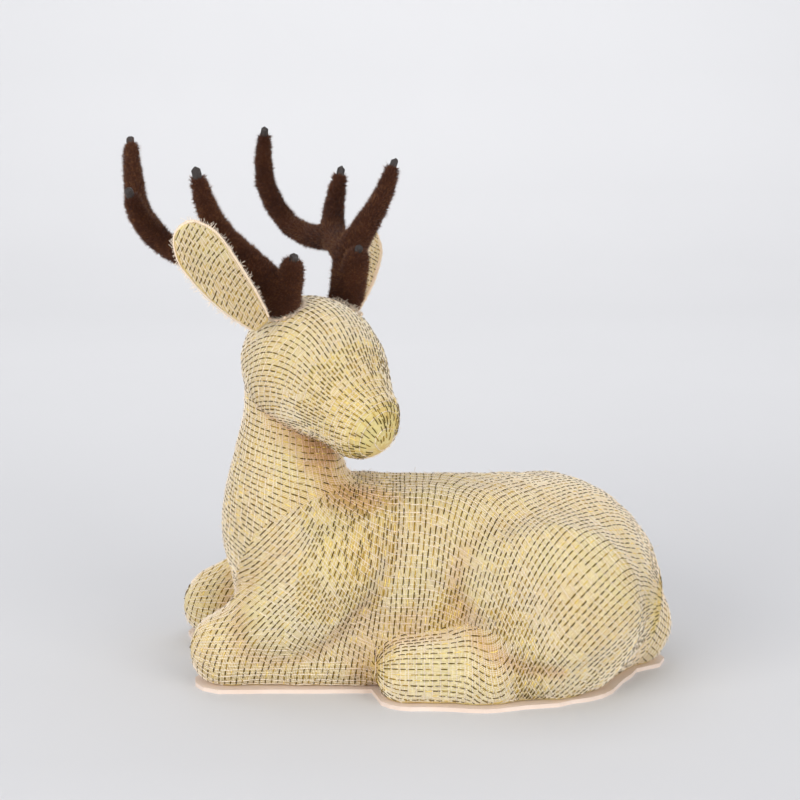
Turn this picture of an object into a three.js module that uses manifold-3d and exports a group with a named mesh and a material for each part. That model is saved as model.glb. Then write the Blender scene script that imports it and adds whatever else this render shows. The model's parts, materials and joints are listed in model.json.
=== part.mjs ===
// A resting reindeer lamp figure: a translucent moulded shell with battery lamps inside, dressed in net cloth,
// with plug-in fur antlers, cloth ears and a foam base sheet.
// Millimetres. +Z is up, the rump is towards +X and -Y is the side that the turned head looks towards.
// The origin is on the floor under the middle of the whole figure.
import * as THREE from "three";
import { mergeVertices } from "three/addons/utils/BufferGeometryUtils.js";
import Module from "manifold-3d";

const wasm = await Module();
wasm.setup();

// ---------------------------------------------------------------- driving dimensions
const GAP = 0.35; // clearance between touching pieces
const SHEET = 3; // base sheet thickness
const SHEET_EDGE = 3; // how far the base sheet stands out past the feet
const CLOTH = 1; // net and lining together
const WALL = 3; // moulded shell wall
const SHELL = CLOTH + GAP; // depth of the shell below the outside of the cloth
const FLOOR = SHEET + GAP; // height at which the dressed shell stands on the sheet
const DECK = FLOOR + SHELL + WALL + GAP; // height of the tray's flange inside the shell
const CENTRE = new THREE.Vector3(-0.19, -21.65, 0); // moves the middle of the figure onto the origin

const HEAD_YAW = THREE.MathUtils.degToRad(47); // turn of the face from +X towards -Y
const CROWN = new THREE.Vector3(-60, -9, 271); // point midway between the antler roots
const ANTLER_SPREAD = 30.5; // half the distance between the antler roots
const PEG_RADIUS = 4;
const PEG_LENGTH = 26;
const CORE_RADIUS = 3.2;

const COLLAR = [-80, -2]; // axis of the collar between neck and head
const EAR_LENGTH = 109;
const EAR_WIDTH = 16.5; // half width
const EAR_BOW = 2; // how far the middle of the ear bends sideways
const EAR_WIDEST = 0.78; // share of the length at which the ear is widest
const EAR_THICKNESS = 1.9; // half thickness of the dressed ear
const EAR_CUP = 7; // rise of the ear's edges above its middle

const CELL_RADIUS = 7.1;
const CELL_LENGTH = 49;
const CELL_PITCH = 15.2;
const TRAY_MIDDLE = 40; // battery tray centre along X
const TRAY_LENGTH = 64;
const TRAY_WIDTH = 52;
const TRAY_TOP = 22.5;
const HINGE_X = TRAY_MIDDLE - TRAY_LENGTH / 2 - 3.2;
const HINGE_Z = 2.7;
const SWITCH_X = 96;
const BOARD_Z = 14;

const V = (x, y, z) => new THREE.Vector3(x, y, z);
const flip = (v) => V(v.x, -v.y, v.z);
const forward = V(Math.cos(HEAD_YAW), -Math.sin(HEAD_YAW), 0);
const leftward = V(Math.sin(HEAD_YAW), Math.cos(HEAD_YAW), 0);

// A point given as forward, outward and upward distances from the crown, on the head's left (+1) or right (-1).
const onHead = (side, [ahead, out, up]) =>
  CROWN.clone().addScaledVector(forward, ahead).addScaledVector(leftward, side * out).add(V(0, 0, up));

// ---------------------------------------------------------------- round forms as distance functions
const oval = (centre, radii, [i, j, k] = [V(1, 0, 0), V(0, 1, 0), V(0, 0, 1)]) => (p) => {
  const d = p.clone().sub(centre);
  d.set(d.dot(i), d.dot(j), d.dot(k));
  const scaled = d.clone().divide(radii).length();
  return (scaled * (scaled - 1)) / Math.max(d.divide(radii).divide(radii).length(), 1e-6);
};

const limb = (from, to, fromRadius, toRadius) => (p) => {
  const along = to.clone().sub(from);
  const t = THREE.MathUtils.clamp(p.clone().sub(from).dot(along) / along.lengthSq(), 0, 1);
  return p.distanceTo(from.clone().addScaledVector(along, t)) - THREE.MathUtils.lerp(fromRadius, toRadius, t);
};

const loaf = (centre, half, corner) => (p) => {
  const q = p.clone().sub(centre);
  q.set(Math.abs(q.x) - half.x + corner, Math.abs(q.y) - half.y + corner, Math.abs(q.z) - half.z + corner);
  return q.clone().max(V(0, 0, 0)).length() + Math.min(Math.max(q.x, q.y, q.z), 0) - corner;
};

// Joins forms with a fillet of about the given radius.
const blend = (fillet, ...forms) => (p) =>
  forms.map((form) => form(p)).reduce((a, b) => {
    const h = Math.max(fillet - Math.abs(a - b), 0) / fillet;
    return Math.min(a, b) - (h * h * fillet) / 4;
  });

const bothSides = (form) => (p) => Math.min(form(p), form(flip(p)));

// ---------------------------------------------------------------- the animal's masses
const barrel = loaf(V(2, 0, 64), V(120, 74, 77), 54);
const rump = oval(V(110, 0, 58), V(84, 88, 86));
const thigh = bothSides(oval(V(112, -64, 62), V(62, 42, 68)));
const shoulder = bothSides(limb(V(-34, -44, 96), V(-98, -44, 46), 36, 28));
const torso = blend(16, barrel, rump, thigh, shoulder);

const foreleg = (wrist, y) =>
  blend(12, limb(V(wrist + 58, y, 62), V(wrist, y, 30), 30, 24), limb(V(wrist - 2, y, 24), V(-26, y - 2, 22), 25, 22));
const nearFore = foreleg(-126, -48);
const farFore = foreleg(-142, 62);
const hindFoot = blend(14, limb(V(8, -82, 20), V(60, -82, 24), 25, 27), limb(V(60, -82, 24), V(106, -76, 32), 27, 31));
const tail = blend(10, limb(V(162, 0, 78), V(180, 0, 30), 24, 23.5), limb(V(180, 0, 30), V(177, 0, 20), 23.5, 23));

const neck = blend(16, limb(V(-84, 0, 212), V(-84, 0, 166), 31, 32.5), limb(V(-84, 0, 166), V(-84, 0, 140), 32.5, 41),
  limb(V(-84, 0, 140), V(-83, 0, 108), 41, 47), limb(V(-83, 0, 108), V(-76, 0, 50), 47, 45));

const skull = oval(V(-66, -8, 232), V(56, 46, 50), [forward, leftward, V(0, 0, 1)]);
const muzzle = limb(V(-62, -12, 229), V(-28, -58, 199), 42, 23.5);
const head = blend(18, skull, muzzle);

// ---------------------------------------------------------------- surfaces made of rings
// Closed surface from rings of points and a pole at each end.
function loft(rings, firstPole, lastPole) {
  const sides = rings[0].length;
  const points = [firstPole, ...rings.flat(), lastPole];
  const at = (ring, side) => 1 + ring * sides + (side % sides);
  const faces = [];
  for (let side = 0; side < sides; side++) {
    faces.push(0, at(0, side + 1), at(0, side));
    faces.push(points.length - 1, at(rings.length - 1, side), at(rings.length - 1, side + 1));
    for (let ring = 0; ring + 1 < rings.length; ring++) {
      faces.push(at(ring, side), at(ring, side + 1), at(ring + 1, side));
      faces.push(at(ring, side + 1), at(ring + 1, side + 1), at(ring + 1, side));
    }
  }
  return new THREE.BufferGeometry().setFromPoints(points).setIndex(faces);
}

const angles = (sides) => Array.from({ length: sides }, (_, side) => (side / sides) * 2 * Math.PI);

// Point where a ray from inside a form leaves it.
function reach(form, origin, direction) {
  let inside = 0;
  let outside = 4;
  const beyond = (s) => form(origin.clone().addScaledVector(direction, s)) > 0;
  while (!beyond(outside) && outside < 400) {
    inside = outside;
    outside += 4;
  }
  for (let i = 0; i < 14; i++) {
    const middle = (inside + outside) / 2;
    if (beyond(middle)) outside = middle;
    else inside = middle;
  }
  return origin.clone().addScaledVector(direction, inside);
}

// Wraps a form from a guide line inside it: rings square to the line, and fans of rings over both ends.
function wrap(form, { from, to, rings, caps = 3, sides = 16 }, inset = 0, floor = -Infinity) {
  const cut = (p) => Math.max(form(p) + inset, floor - p.z);
  const axis = to.clone().sub(from).normalize();
  const across = V(0, 1, 0).cross(axis).normalize();
  const up = axis.clone().cross(across);
  const ring = (origin, lean) =>
    angles(sides).map((angle) => {
      const out = across.clone().multiplyScalar(Math.cos(angle)).addScaledVector(up, Math.sin(angle));
      return reach(cut, origin, out.multiplyScalar(Math.cos(lean)).addScaledVector(axis, Math.sin(lean)).normalize());
    });
  const all = [];
  for (let i = 1; i < caps; i++) all.push(ring(from, -(Math.PI / 2) * (1 - i / caps)));
  for (let i = 0; i <= rings; i++) all.push(ring(from.clone().lerp(to, i / rings), 0));
  for (let i = caps - 1; i > 0; i--) all.push(ring(to, (Math.PI / 2) * (1 - i / caps)));
  return solid(loft(all, reach(cut, from, axis.clone().negate()), reach(cut, to, axis)));
}

// Round tapering rod through a row of points, with a radius for each point.
function rod(points, radii, { sides = 8, segments = 8, tip = 0.7 } = {}) {
  const path = new THREE.CatmullRomCurve3(points, false, "centripetal");
  const { tangents, normals, binormals } = path.computeFrenetFrames(segments);
  const radiusAt = (u) => {
    const t = path.getUtoTmapping(u) * (radii.length - 1);
    const i = Math.min(Math.floor(t), radii.length - 2);
    return THREE.MathUtils.lerp(radii[i], radii[i + 1], t - i);
  };
  const rings = tangents.map((_, i) => {
    const u = i / segments;
    return angles(sides).map((angle) =>
      path
        .getPointAt(u)
        .addScaledVector(normals[i], radiusAt(u) * Math.cos(angle))
        .addScaledVector(binormals[i], radiusAt(u) * Math.sin(angle)),
    );
  });
  const first = path.getPointAt(0).addScaledVector(tangents[0], -tip * radii[0]);
  const last = path.getPointAt(1).addScaledVector(tangents[segments], tip * radii[radii.length - 1]);
  return solid(loft(rings, first, last));
}

// ---------------------------------------------------------------- solids
function solid(geometry) {
  const bare = new THREE.BufferGeometry().setAttribute("position", geometry.getAttribute("position"));
  bare.setIndex(geometry.index);
  const merged = mergeVertices(bare, 1e-3);
  return new wasm.Manifold(
    new wasm.Mesh({
      numProp: 3,
      vertProperties: merged.attributes.position.array,
      triVerts: new Uint32Array(merged.index.array),
    }),
  );
}

const joined = (...parts) => parts.reduce((a, b) => a.add(b));

const block = (x0, x1, y0, y1, z0, z1) =>
  solid(new THREE.BoxGeometry(x1 - x0, y1 - y0, z1 - z0).translate((x0 + x1) / 2, (y0 + y1) / 2, (z0 + z1) / 2));

function cylinder(from, to, radius, sides = 14, endRadius = radius) {
  const along = to.clone().sub(from);
  const geometry = new THREE.CylinderGeometry(endRadius, radius, along.length(), sides);
  geometry.applyQuaternion(new THREE.Quaternion().setFromUnitVectors(V(0, 1, 0), along.clone().normalize()));
  return solid(geometry.translate(...from.clone().lerp(to, 0.5).toArray()));
}

const figure = new THREE.Group();

function add(name, made, material) {
  const { vertProperties, triVerts } = made.getMesh();
  const geometry = new THREE.BufferGeometry();
  geometry.setAttribute("position", new THREE.BufferAttribute(new Float32Array(vertProperties), 3));
  geometry.setIndex(new THREE.BufferAttribute(triVerts, 1));
  geometry.translate(CENTRE.x, CENTRE.y, CENTRE.z);
  const mesh = new THREE.Mesh(geometry, material);
  mesh.name = name;
  figure.add(mesh);
}

const finish = (color, roughness, metalness = 0) => () =>
  new THREE.MeshStandardMaterial({ color, roughness, metalness });
const netCloth = finish(0xe3cf9f, 0.85);
const trimCloth = finish(0xead2bb, 0.9);
const foam = finish(0xf0dcca, 0.9);
const fur = finish(0x46261a, 1);
const darkPlastic = finish(0x2a211d, 0.55);
const milkyPlastic = finish(0xf2efe6, 0.45);
const whitePlastic = finish(0xe9e7e0, 0.5);
const card = finish(0xcbb894, 0.9);
const steel = finish(0xb9bcc0, 0.3, 1);
const cellJacket = finish(0x35506b, 0.4);
const laminate = finish(0x2f6b45, 0.5);
const copperWire = finish(0xd8c9a8, 0.4);
const lampLens = finish(0xffe2a6, 0.2);

// ---------------------------------------------------------------- body layers
const mirrored = (form) => (p) => form(flip(p));
const guides = {
  torso: { form: torso, from: V(-62, 0, 40), to: V(112, 0, 40), rings: 9, caps: 3, sides: 20 },
  tail: { form: tail, from: V(172, 0, 56), to: V(178, 0, 22), rings: 2, caps: 2, sides: 12 },
  nearFore: { form: nearFore, from: V(-124, -48, 24), to: V(-40, -50, 24), rings: 4, sides: 12 },
  farFore: { form: farFore, from: V(-140, 62, 24), to: V(-46, 60, 24), rings: 4, sides: 12 },
  nearHind: { form: hindFoot, from: V(8, -82, 22), to: V(122, -80, 26), rings: 5, sides: 12 },
  farHind: { form: mirrored(hindFoot), from: V(8, 82, 22), to: V(122, 80, 26), rings: 5, sides: 12 },
  neck: { form: neck, from: V(-78, 0, 50), to: V(-84, 0, 208), rings: 6, caps: 2, sides: 12 },
  head: { form: head, from: V(-80, 8, 232), to: V(-31, -54, 202), rings: 5, caps: 3, sides: 14 },
};
const layer = (part, inset) => wrap(guides[part].form, guides[part], inset, FLOOR + inset);
// The shell's inner face is plainer than its outer one.
const bore = (part) => {
  const { rings, sides } = guides[part];
  const plain = { ...guides[part], rings: Math.ceil(rings / 2), sides: Math.max(sides / 2, 10), caps: 2 };
  return wrap(guides[part].form, plain, SHELL + WALL, FLOOR + SHELL + WALL);
};
const bodyNames = ["torso", "tail", "nearFore", "farFore", "nearHind", "farHind", "neck"];

const trayHole = block(HINGE_X - 3.5, TRAY_MIDDLE + TRAY_LENGTH / 2 + 1, -TRAY_WIDTH / 2 - 1, TRAY_WIDTH / 2 + 1, -1, 9);
const switchHole = block(SWITCH_X - 6, SWITCH_X + 6, -9, 9, -1, 9);
const underside = joined(trayHole, switchHole);
const floorRoom = block(-70, 140, -48, 48, FLOOR + SHELL + WALL, 30);

function addNet() {
  const panel = (name, part, others) => {
    const skin = layer(part, 0).subtract(layer(part, CLOTH));
    add(name, others.reduce((left, other) => left.subtract(layer(other, -GAP)), skin).subtract(underside), netCloth());
  };
  panel("net_torso", "torso", ["neck", "tail", "nearFore", "farFore", "nearHind", "farHind"]);
  panel("net_neck", "neck", ["torso", "head"]);
  panel("net_tail", "tail", ["torso"]);
  panel("net_foreleg_left", "nearFore", ["torso", "neck", "nearHind"]);
  panel("net_foreleg_right", "farFore", ["torso", "neck", "farHind"]);
  panel("net_hindleg_left", "nearHind", ["torso", "nearFore"]);
  panel("net_hindleg_right", "farHind", ["torso", "farFore"]);
}

function addBodyShell() {
  const shell = joined(...bodyNames.map((name) => layer(name, SHELL))).subtract(joined(floorRoom, ...bodyNames.map(bore)));
  const pilots = screwSpots.map(([x, y]) => cylinder(V(x, y, 6), V(x, y, DECK), 1.3 + GAP, 8));
  const open = shell.subtract(underside).subtract(joined(...pilots)).subtract(layer("head", -GAP));
  add("shell_body_left", open.intersect(block(-300, 300, -200, -GAP / 2, -1, 300)), milkyPlastic());
  add("shell_body_right", open.intersect(block(-300, 300, GAP / 2, 200, -1, 300)), milkyPlastic());
}

function addBaseSheet() {
  const outline = angles(88).map((angle) => {
    const out = V(Math.cos(angle), Math.sin(angle), 0);
    const clear = (s) =>
      bodyNames.every((name) => guides[name].form(out.clone().multiplyScalar(s).add(V(0, 0, 9))) > SHEET_EDGE);
    let s = 260;
    while (clear(s)) s -= 0.5;
    return new THREE.Vector2(out.x * s, out.y * s);
  });
  const slab = new THREE.ExtrudeGeometry(new THREE.Shape(outline), { depth: SHEET, bevelEnabled: false });
  add("base_sheet", solid(slab).subtract(underside), foam());
}

// ---------------------------------------------------------------- head, antlers and ears
const rootUp = (side) => onHead(side, [-0.1, 0.25, 1]).sub(CROWN).normalize();
const rootAt = (side) => reach(head, onHead(side, [0, ANTLER_SPREAD - 12, -40]), rootUp(side));

const seat = (side, radius) =>
  cylinder(rootAt(side).addScaledVector(rootUp(side), -PEG_LENGTH - 6), rootAt(side).addScaledVector(rootUp(side), 8), radius);

function addHead() {
  const roots = joined(seat(1, 8.6), seat(-1, 8.6));
  const throat = cylinder(V(...COLLAR, 150), V(...COLLAR, 206), 20.5, 20);
  const skin = layer("head", 0).subtract(layer("head", CLOTH)).subtract(throat).subtract(roots);
  add("net_head", skin, netCloth());
  const shell = layer("head", SHELL).subtract(bore("head")).subtract(throat).subtract(roots);
  for (const [name, side] of [["shell_head_left", 1], ["shell_head_right", -1]]) {
    const half = new THREE.BoxGeometry(400, 200, 400).translate(0, side * (100 + GAP / 2), 0);
    half.rotateZ(-HEAD_YAW).translate(-66, -8, 232);
    add(name, shell.intersect(solid(half)), milkyPlastic());
  }
  const collar = new THREE.LatheGeometry(
    [[17, 168], [20, 168], [20, 202], [17, 202], [17, 168]].map(([r, z]) => new THREE.Vector2(r, z)),
    20,
  );
  add("neck_collar", solid(collar.rotateX(Math.PI / 2).translate(...COLLAR, 0)), whitePlastic());
}

// Branches of each antler: rows of forward, outward and upward distances with the sleeve's radius at each.
// The wire frame is bent by hand, so the two antlers are alike and not mirror images.
const branches = {
  right: [
    [[0, 31, 2, 11], [-6, 36, 20, 12], [-17, 48, 38, 10.5], [-20, 74, 64, 8], [-21, 86, 86, 6.5], [-22, 91, 104, 4.5]],
    [[-2, 31, 8, 11], [5, 31, 28, 9], [9, 31, 41, 7]],
    [[-17, 46, 36, 10], [-44, 62, 40, 8.5], [-70, 76, 46, 8], [-88, 90, 64, 7.5], [-87, 102, 86, 5]],
    [[-80, 82, 54, 7.5], [-104, 82, 72, 7], [-121, 75, 92, 6.5], [-137, 65, 118, 4.5]],
  ],
  left: [
    [[0, 31, 2, 11], [-5, 34, 20, 12], [-17, 46, 38, 10.5], [-18, 66, 60, 8.5], [-20, 84, 80, 6.5], [-22, 95, 99, 4.5]],
    [[-2, 31, 8, 11], [4, 32, 28, 9.5], [8, 32, 41, 8]],
    [[-16, 44, 36, 10], [-42, 60, 40, 9], [-70, 76, 45, 9], [-84, 90, 66, 7], [-86, 98, 88, 4.8]],
    [[-66, 72, 44, 9], [-102, 80, 40, 8], [-132, 79, 50, 7.5], [-148, 72, 80, 7], [-139, 65, 118, 4.5]],
  ],
};

function addAntler(name, side) {
  const up = rootUp(side);
  const root = rootAt(side);
  const strands = branches[name].map((rows) => ({
    points: rows.map((row) => onHead(side, row)),
    radii: rows.map((row) => row[3]),
  }));
  strands[0].points[0] = root.clone().addScaledVector(up, 3);
  const bones = (radius) =>
    strands.map(({ points }) => {
      const last = points[points.length - 1];
      const tip = last.clone().addScaledVector(last.clone().sub(points[points.length - 2]).normalize(), 5.5);
      const radii = [...points.map(() => radius), radius - 0.2];
      return rod([...points, tip], radii, { sides: 5, segments: 7 });
    });
  const peg = cylinder(root.clone().addScaledVector(up, -PEG_LENGTH), root.clone().addScaledVector(up, 12), PEG_RADIUS);
  const pegRoom = cylinder(
    root.clone().addScaledVector(up, -PEG_LENGTH),
    root.clone().addScaledVector(up, 12 + GAP),
    PEG_RADIUS + GAP,
  );
  const sleeve = joined(...strands.map(({ points, radii }) => rod(points, radii, { sides: 7, segments: 7 })));
  const clear = sleeve.subtract(joined(pegRoom, ...bones(CORE_RADIUS + GAP))).subtract(layer("head", -1));
  add(`antler_core_${name}`, joined(peg, ...bones(CORE_RADIUS)), darkPlastic());
  add(`antler_fur_${name}`, clear, fur());

  const socket = seat(side, 8.2).subtract(
    cylinder(root.clone().addScaledVector(up, -PEG_LENGTH - 0.6), root.clone().addScaledVector(up, 20), PEG_RADIUS + GAP),
  );
  const trimmed = socket.intersect(
    cylinder(root.clone().addScaledVector(up, -PEG_LENGTH - 4), root.clone().addScaledVector(up, -4.5), 30),
  );
  add(`antler_socket_${name}`, trimmed, whitePlastic());

  const lip = new THREE.TorusGeometry(17.5, 2.2, 6, 20);
  lip.applyQuaternion(new THREE.Quaternion().setFromUnitVectors(V(0, 0, 1), up));
  lip.translate(...root.clone().addScaledVector(up, 0.8).toArray());
  add(`net_lip_${name}`, solid(lip).subtract(layer("head", -GAP)), netCloth());
}

// Each ear: root on the head, tip, and the way its hollow faces.
const ears = {
  right: { side: -1, root: [2, 54, -3], tip: [-1, 120, 72], face: V(0.05, -1, 0.25) },
  left: { side: 1, root: [-14, 43, -9], tip: [-58, 112, 60], face: V(0.97, -0.1, 0.1) },
};

function earFrame({ side, root, tip, face }) {
  const start = onHead(side, root);
  const along = onHead(side, tip).sub(start).normalize();
  const across = along.clone().cross(face).normalize();
  return { start, along, across, facing: across.clone().cross(along) };
}

// A narrow root, a swelling blade and a blunt round tip.
const earHalfWidth = (u) =>
  u < EAR_WIDEST
    ? EAR_WIDTH * Math.pow(Math.sin(Math.PI * (0.06 + (0.44 * Math.max(u, 0)) / EAR_WIDEST)), 0.6)
    : EAR_WIDTH * Math.sqrt(1 - ((u - EAR_WIDEST) / 0.24) ** 2);

const earPoint = ({ start, along, across, facing }, u, v, depth) =>
  start
    .clone()
    .addScaledVector(along, EAR_LENGTH * u - 10 * u * u)
    .addScaledVector(across, v - EAR_BOW * Math.sin(Math.PI * u))
    .addScaledVector(facing, depth + EAR_CUP * (v / EAR_WIDTH) ** 2 - 14 * (u - 0.4) ** 2);

function earLeaf(frame, inset, startAt) {
  const steps = 9;
  const rings = Array.from({ length: steps + 1 }, (_, i) => {
    const u = THREE.MathUtils.lerp(startAt, 1, i / steps);
    return angles(10).map((angle) =>
      earPoint(frame, u, (earHalfWidth(u) - inset) * Math.cos(angle), -(EAR_THICKNESS - inset) * Math.sin(angle)),
    );
  });
  return solid(loft(rings, earPoint(frame, startAt, 0, 0), earPoint(frame, 1.01, 0, 0)));
}

function addEar(name) {
  const frame = earFrame(ears[name]);
  const headRoom = layer("head", -GAP).add(seat(ears[name].side, 20.2));
  const pocket = earLeaf(frame, 0, 0).subtract(earLeaf(frame, 0.9, -0.04)).subtract(headRoom);
  add(`ear_net_${name}`, pocket, netCloth());
  add(`ear_stiffener_${name}`, earLeaf(frame, 1.4, -0.02).subtract(headRoom), card());
  const edge = [];
  for (let i = 0; i <= 10; i++) edge.push(earPoint(frame, 0.06 + 0.09 * i, earHalfWidth(0.06 + 0.09 * i) + 2, 0));
  edge.push(earPoint(frame, 1.05, 0, 0));
  for (let i = 10; i >= 0; i--) edge.push(earPoint(frame, 0.06 + 0.09 * i, -earHalfWidth(0.06 + 0.09 * i) - 2, 0));
  const binding = rod(edge, edge.map(() => 1.6), { sides: 5, segments: 26 });
  add(`ear_binding_${name}`, binding.subtract(earLeaf(frame, -GAP, 0)).subtract(headRoom), trimCloth());
}

// ---------------------------------------------------------------- battery tray, switch and lamps
const trayStart = TRAY_MIDDLE - TRAY_LENGTH / 2;
const trayEnd = TRAY_MIDDLE + TRAY_LENGTH / 2;
const screwSpots = [[trayStart + 4, 31], [trayStart + 4, -31], [trayEnd - 4, 31], [trayEnd - 4, -31]];
const boardSpots = [[SWITCH_X - 4, 17], [SWITCH_X - 4, -17]];

function addTray() {
  const half = TRAY_WIDTH / 2;
  const cup = block(trayStart, trayEnd, -half, half, 3.2, TRAY_TOP).subtract(
    block(trayStart + 2, trayEnd - 2, -half + 2, half - 2, 0, TRAY_TOP - 2),
  );
  const flange = block(trayStart - 4, SWITCH_X + 10, -36, 36, DECK, DECK + 2).subtract(
    block(trayStart + 1, trayEnd - 1, -half + 1, half - 1, 0, 30),
  );
  const posts = joined(...boardSpots.map(([x, y]) => block(x - 3, x + 3, y - 3, y + 3, DECK + 1, BOARD_Z - GAP)));
  const lugs = [-17, 17].map((y) =>
    block(HINGE_X - 2, trayStart + 1, y - 2, y + 2, 3.2, DECK + 1).add(
      cylinder(V(HINGE_X, y - 2, HINGE_Z), V(HINGE_X, y + 2, HINGE_Z), 2, 12),
    ),
  );
  const holes = screwSpots.map(([x, y]) => cylinder(V(x, y, 4), V(x, y, 12), 1.6 + GAP, 8));
  const pilots = boardSpots.map(([x, y]) => cylinder(V(x, y, DECK + 1), V(x, y, 20), 1.1 + GAP, 8));
  const window = block(SWITCH_X - 6, SWITCH_X + 6, -10, 10, 0, 12);
  const pinHole = cylinder(V(HINGE_X, -25, HINGE_Z), V(HINGE_X, 25, HINGE_Z), 1 + GAP, 12);
  const cut = joined(pinHole, window, ...holes, ...pilots);
  add("battery_tray", joined(cup, flange, posts, ...lugs).subtract(cut), whitePlastic());
}

function addDoor() {
  const half = TRAY_WIDTH / 2 - 0.5;
  const plate = block(trayStart + 0.5, trayEnd - 0.5, -half, half, 1, 2.8);
  const web = block(HINGE_X, trayStart + 1, -14, 14, 1, 2.8);
  const barrel = cylinder(V(HINGE_X, -14, HINGE_Z), V(HINGE_X, 14, HINGE_Z), 2, 12);
  const catchTab = block(trayEnd - 4.4, trayEnd - 2.5, -6, 6, 2, 8);
  const grip = joined(...[0, 1, 2].map((i) => block(trayEnd - 9 + 2.4 * i, trayEnd - 8 + 2.4 * i, -9, 9, 0.5, 1.4)));
  const bore = cylinder(V(HINGE_X, -20, HINGE_Z), V(HINGE_X, 20, HINGE_Z), 1 + GAP, 12);
  add("battery_door", joined(plate, web, barrel, catchTab, grip).subtract(bore), whitePlastic());
  add("hinge_pin", cylinder(V(HINGE_X, -18.5, HINGE_Z), V(HINGE_X, 18.5, HINGE_Z), 1, 12), steel());
}

// Flat coil of spring wire that stands on a contact plate.
function coil(x, y, z) {
  const points = Array.from({ length: 19 }, (_, i) => {
    const angle = (i / 6) * 2 * Math.PI;
    return V(x + 0.28 * i, y + 3.4 * Math.cos(angle), z + 3.4 * Math.sin(angle));
  });
  return rod(points, points.map(() => 0.45), { sides: 4, segments: 24 });
}

function addPower() {
  const axis = 3.4 + CELL_RADIUS + 1.4;
  const rear = trayStart + 2 + GAP;
  const front = trayEnd - 2 - GAP;
  const cellStart = rear + 7.4;
  for (let i = 0; i < 3; i++) {
    const y = (i - 1) * CELL_PITCH;
    const can = cylinder(V(cellStart, y, axis), V(cellStart + CELL_LENGTH, y, axis), CELL_RADIUS, 18);
    const nub = cylinder(V(cellStart + CELL_LENGTH - 1, y, axis), V(cellStart + CELL_LENGTH + 1.3, y, axis), 2.7, 10);
    add(`cell_${i + 1}`, can.add(nub), cellJacket());
    add(`contact_spring_${i + 1}`, coil(rear + 1.4, y, axis), steel());
  }
  add("contact_plate_rear", block(rear, rear + 0.6, -22, 22, 9, 19), steel());
  add("contact_plate_front", block(front - 0.6, front, -22, 22, 9, 19), steel());
  screwSpots.forEach(([x, y], i) => {
    const shank = cylinder(V(x, y, DECK - 1.6), V(x, y, DECK + 3), 1.3, 8);
    add(`tray_screw_${i + 1}`, shank.add(cylinder(V(x, y, DECK + 2 + GAP), V(x, y, DECK + 4), 2.8, 10)), steel());
  });
}

function addSwitch() {
  const holes = boardSpots.map(([x, y]) => cylinder(V(x, y, BOARD_Z - 1), V(x, y, BOARD_Z + 3), 1.1 + GAP, 8));
  const board = block(SWITCH_X - 9, SWITCH_X + 9, -22, 22, BOARD_Z, BOARD_Z + 1.6);
  add("circuit_board", board.subtract(joined(...holes)), laminate());
  const body = block(SWITCH_X - 3.5, SWITCH_X + 3.5, -8, 8, 7, BOARD_Z - GAP);
  const track = block(SWITCH_X - 2.2, SWITCH_X + 2.2, -5.4, 5.4, 7.8, 11);
  const slot = block(SWITCH_X - 1.5, SWITCH_X + 1.5, -5.4, 5.4, 5, 9);
  add("switch_body", body.subtract(track.add(slot)), steel());
  const slider = block(SWITCH_X - 1.8, SWITCH_X + 1.8, -5, 0.6, 8.2, 10.4);
  const knob = block(SWITCH_X - 1.1, SWITCH_X + 1.1, -4.4, 0, 1.6, 8.5);
  add("switch_slider", slider.add(knob), darkPlastic());
  boardSpots.forEach(([x, y], i) => {
    const shank = cylinder(V(x, y, DECK + 2), V(x, y, BOARD_Z + 2.4), 1.1, 8);
    add(`board_screw_${i + 1}`, shank.add(cylinder(V(x, y, BOARD_Z + 1.6 + GAP), V(x, y, BOARD_Z + 3.4), 2.3, 10)), steel());
  });
}

const wireRun = [
  [103, 6, 18], [106, 0, 44], [150, 0, 80], [60, 0, 112], [-20, 0, 100], [-84, 0, 116], [-84, 0, 200], [-48, -34, 232],
];

function addLamps() {
  const knots = wireRun.map((row) => V(...row));
  const path = [];
  knots.forEach((knot, i) => {
    if (i > 0) path.push(knot.clone().lerp(knots[i - 1], 0.18));
    if (i < knots.length - 1) path.push(knot.clone().lerp(knots[i + 1], 0.18));
  });
  const rings = path.map((point, i) => {
    const before = path[Math.max(i - 1, 0)];
    const after = path[Math.min(i + 1, path.length - 1)];
    const along = after.clone().sub(before).normalize();
    const across = along.clone().cross(V(0.3, 1, 0.1)).normalize();
    const third = along.clone().cross(across);
    return angles(6).map((a) =>
      point.clone().addScaledVector(across, 0.9 * Math.cos(a)).addScaledVector(third, 0.9 * Math.sin(a)),
    );
  });
  add("lamp_wire", solid(loft(rings, path[0], path[path.length - 1])), copperWire());
  let lamp = 0;
  for (let i = 1; i + 1 < knots.length; i++) {
    const along = knots[i + 1].clone().sub(knots[i]).normalize();
    const middle = knots[i].clone().lerp(knots[i + 1], 0.5);
    const points = [-5, 0, 5].map((s) => middle.clone().addScaledVector(along, s));
    const bead = rod(points, [2.2, 3.4, 2.2], { sides: 8, segments: 4 });
    const bore = cylinder(middle.clone().addScaledVector(along, -12), middle.clone().addScaledVector(along, 12), 1.3, 6);
    lamp += 1;
    add(`lamp_bead_${lamp}`, bead.subtract(bore), lampLens());
  }
}

addNet();
addBodyShell();
addBaseSheet();
addHead();
addAntler("left", 1);
addAntler("right", -1);
addEar("left");
addEar("right");
addTray();
addDoor();
addPower();
addSwitch();
addLamps();

export default figure;
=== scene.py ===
# A resting reindeer lamp figure, dressed in gold-yarn net, with plug-in fur antlers and cloth ears.
import json
import math

import bpy
import numpy as np
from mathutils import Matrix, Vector
from mathutils.bvhtree import BVHTree


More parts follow.
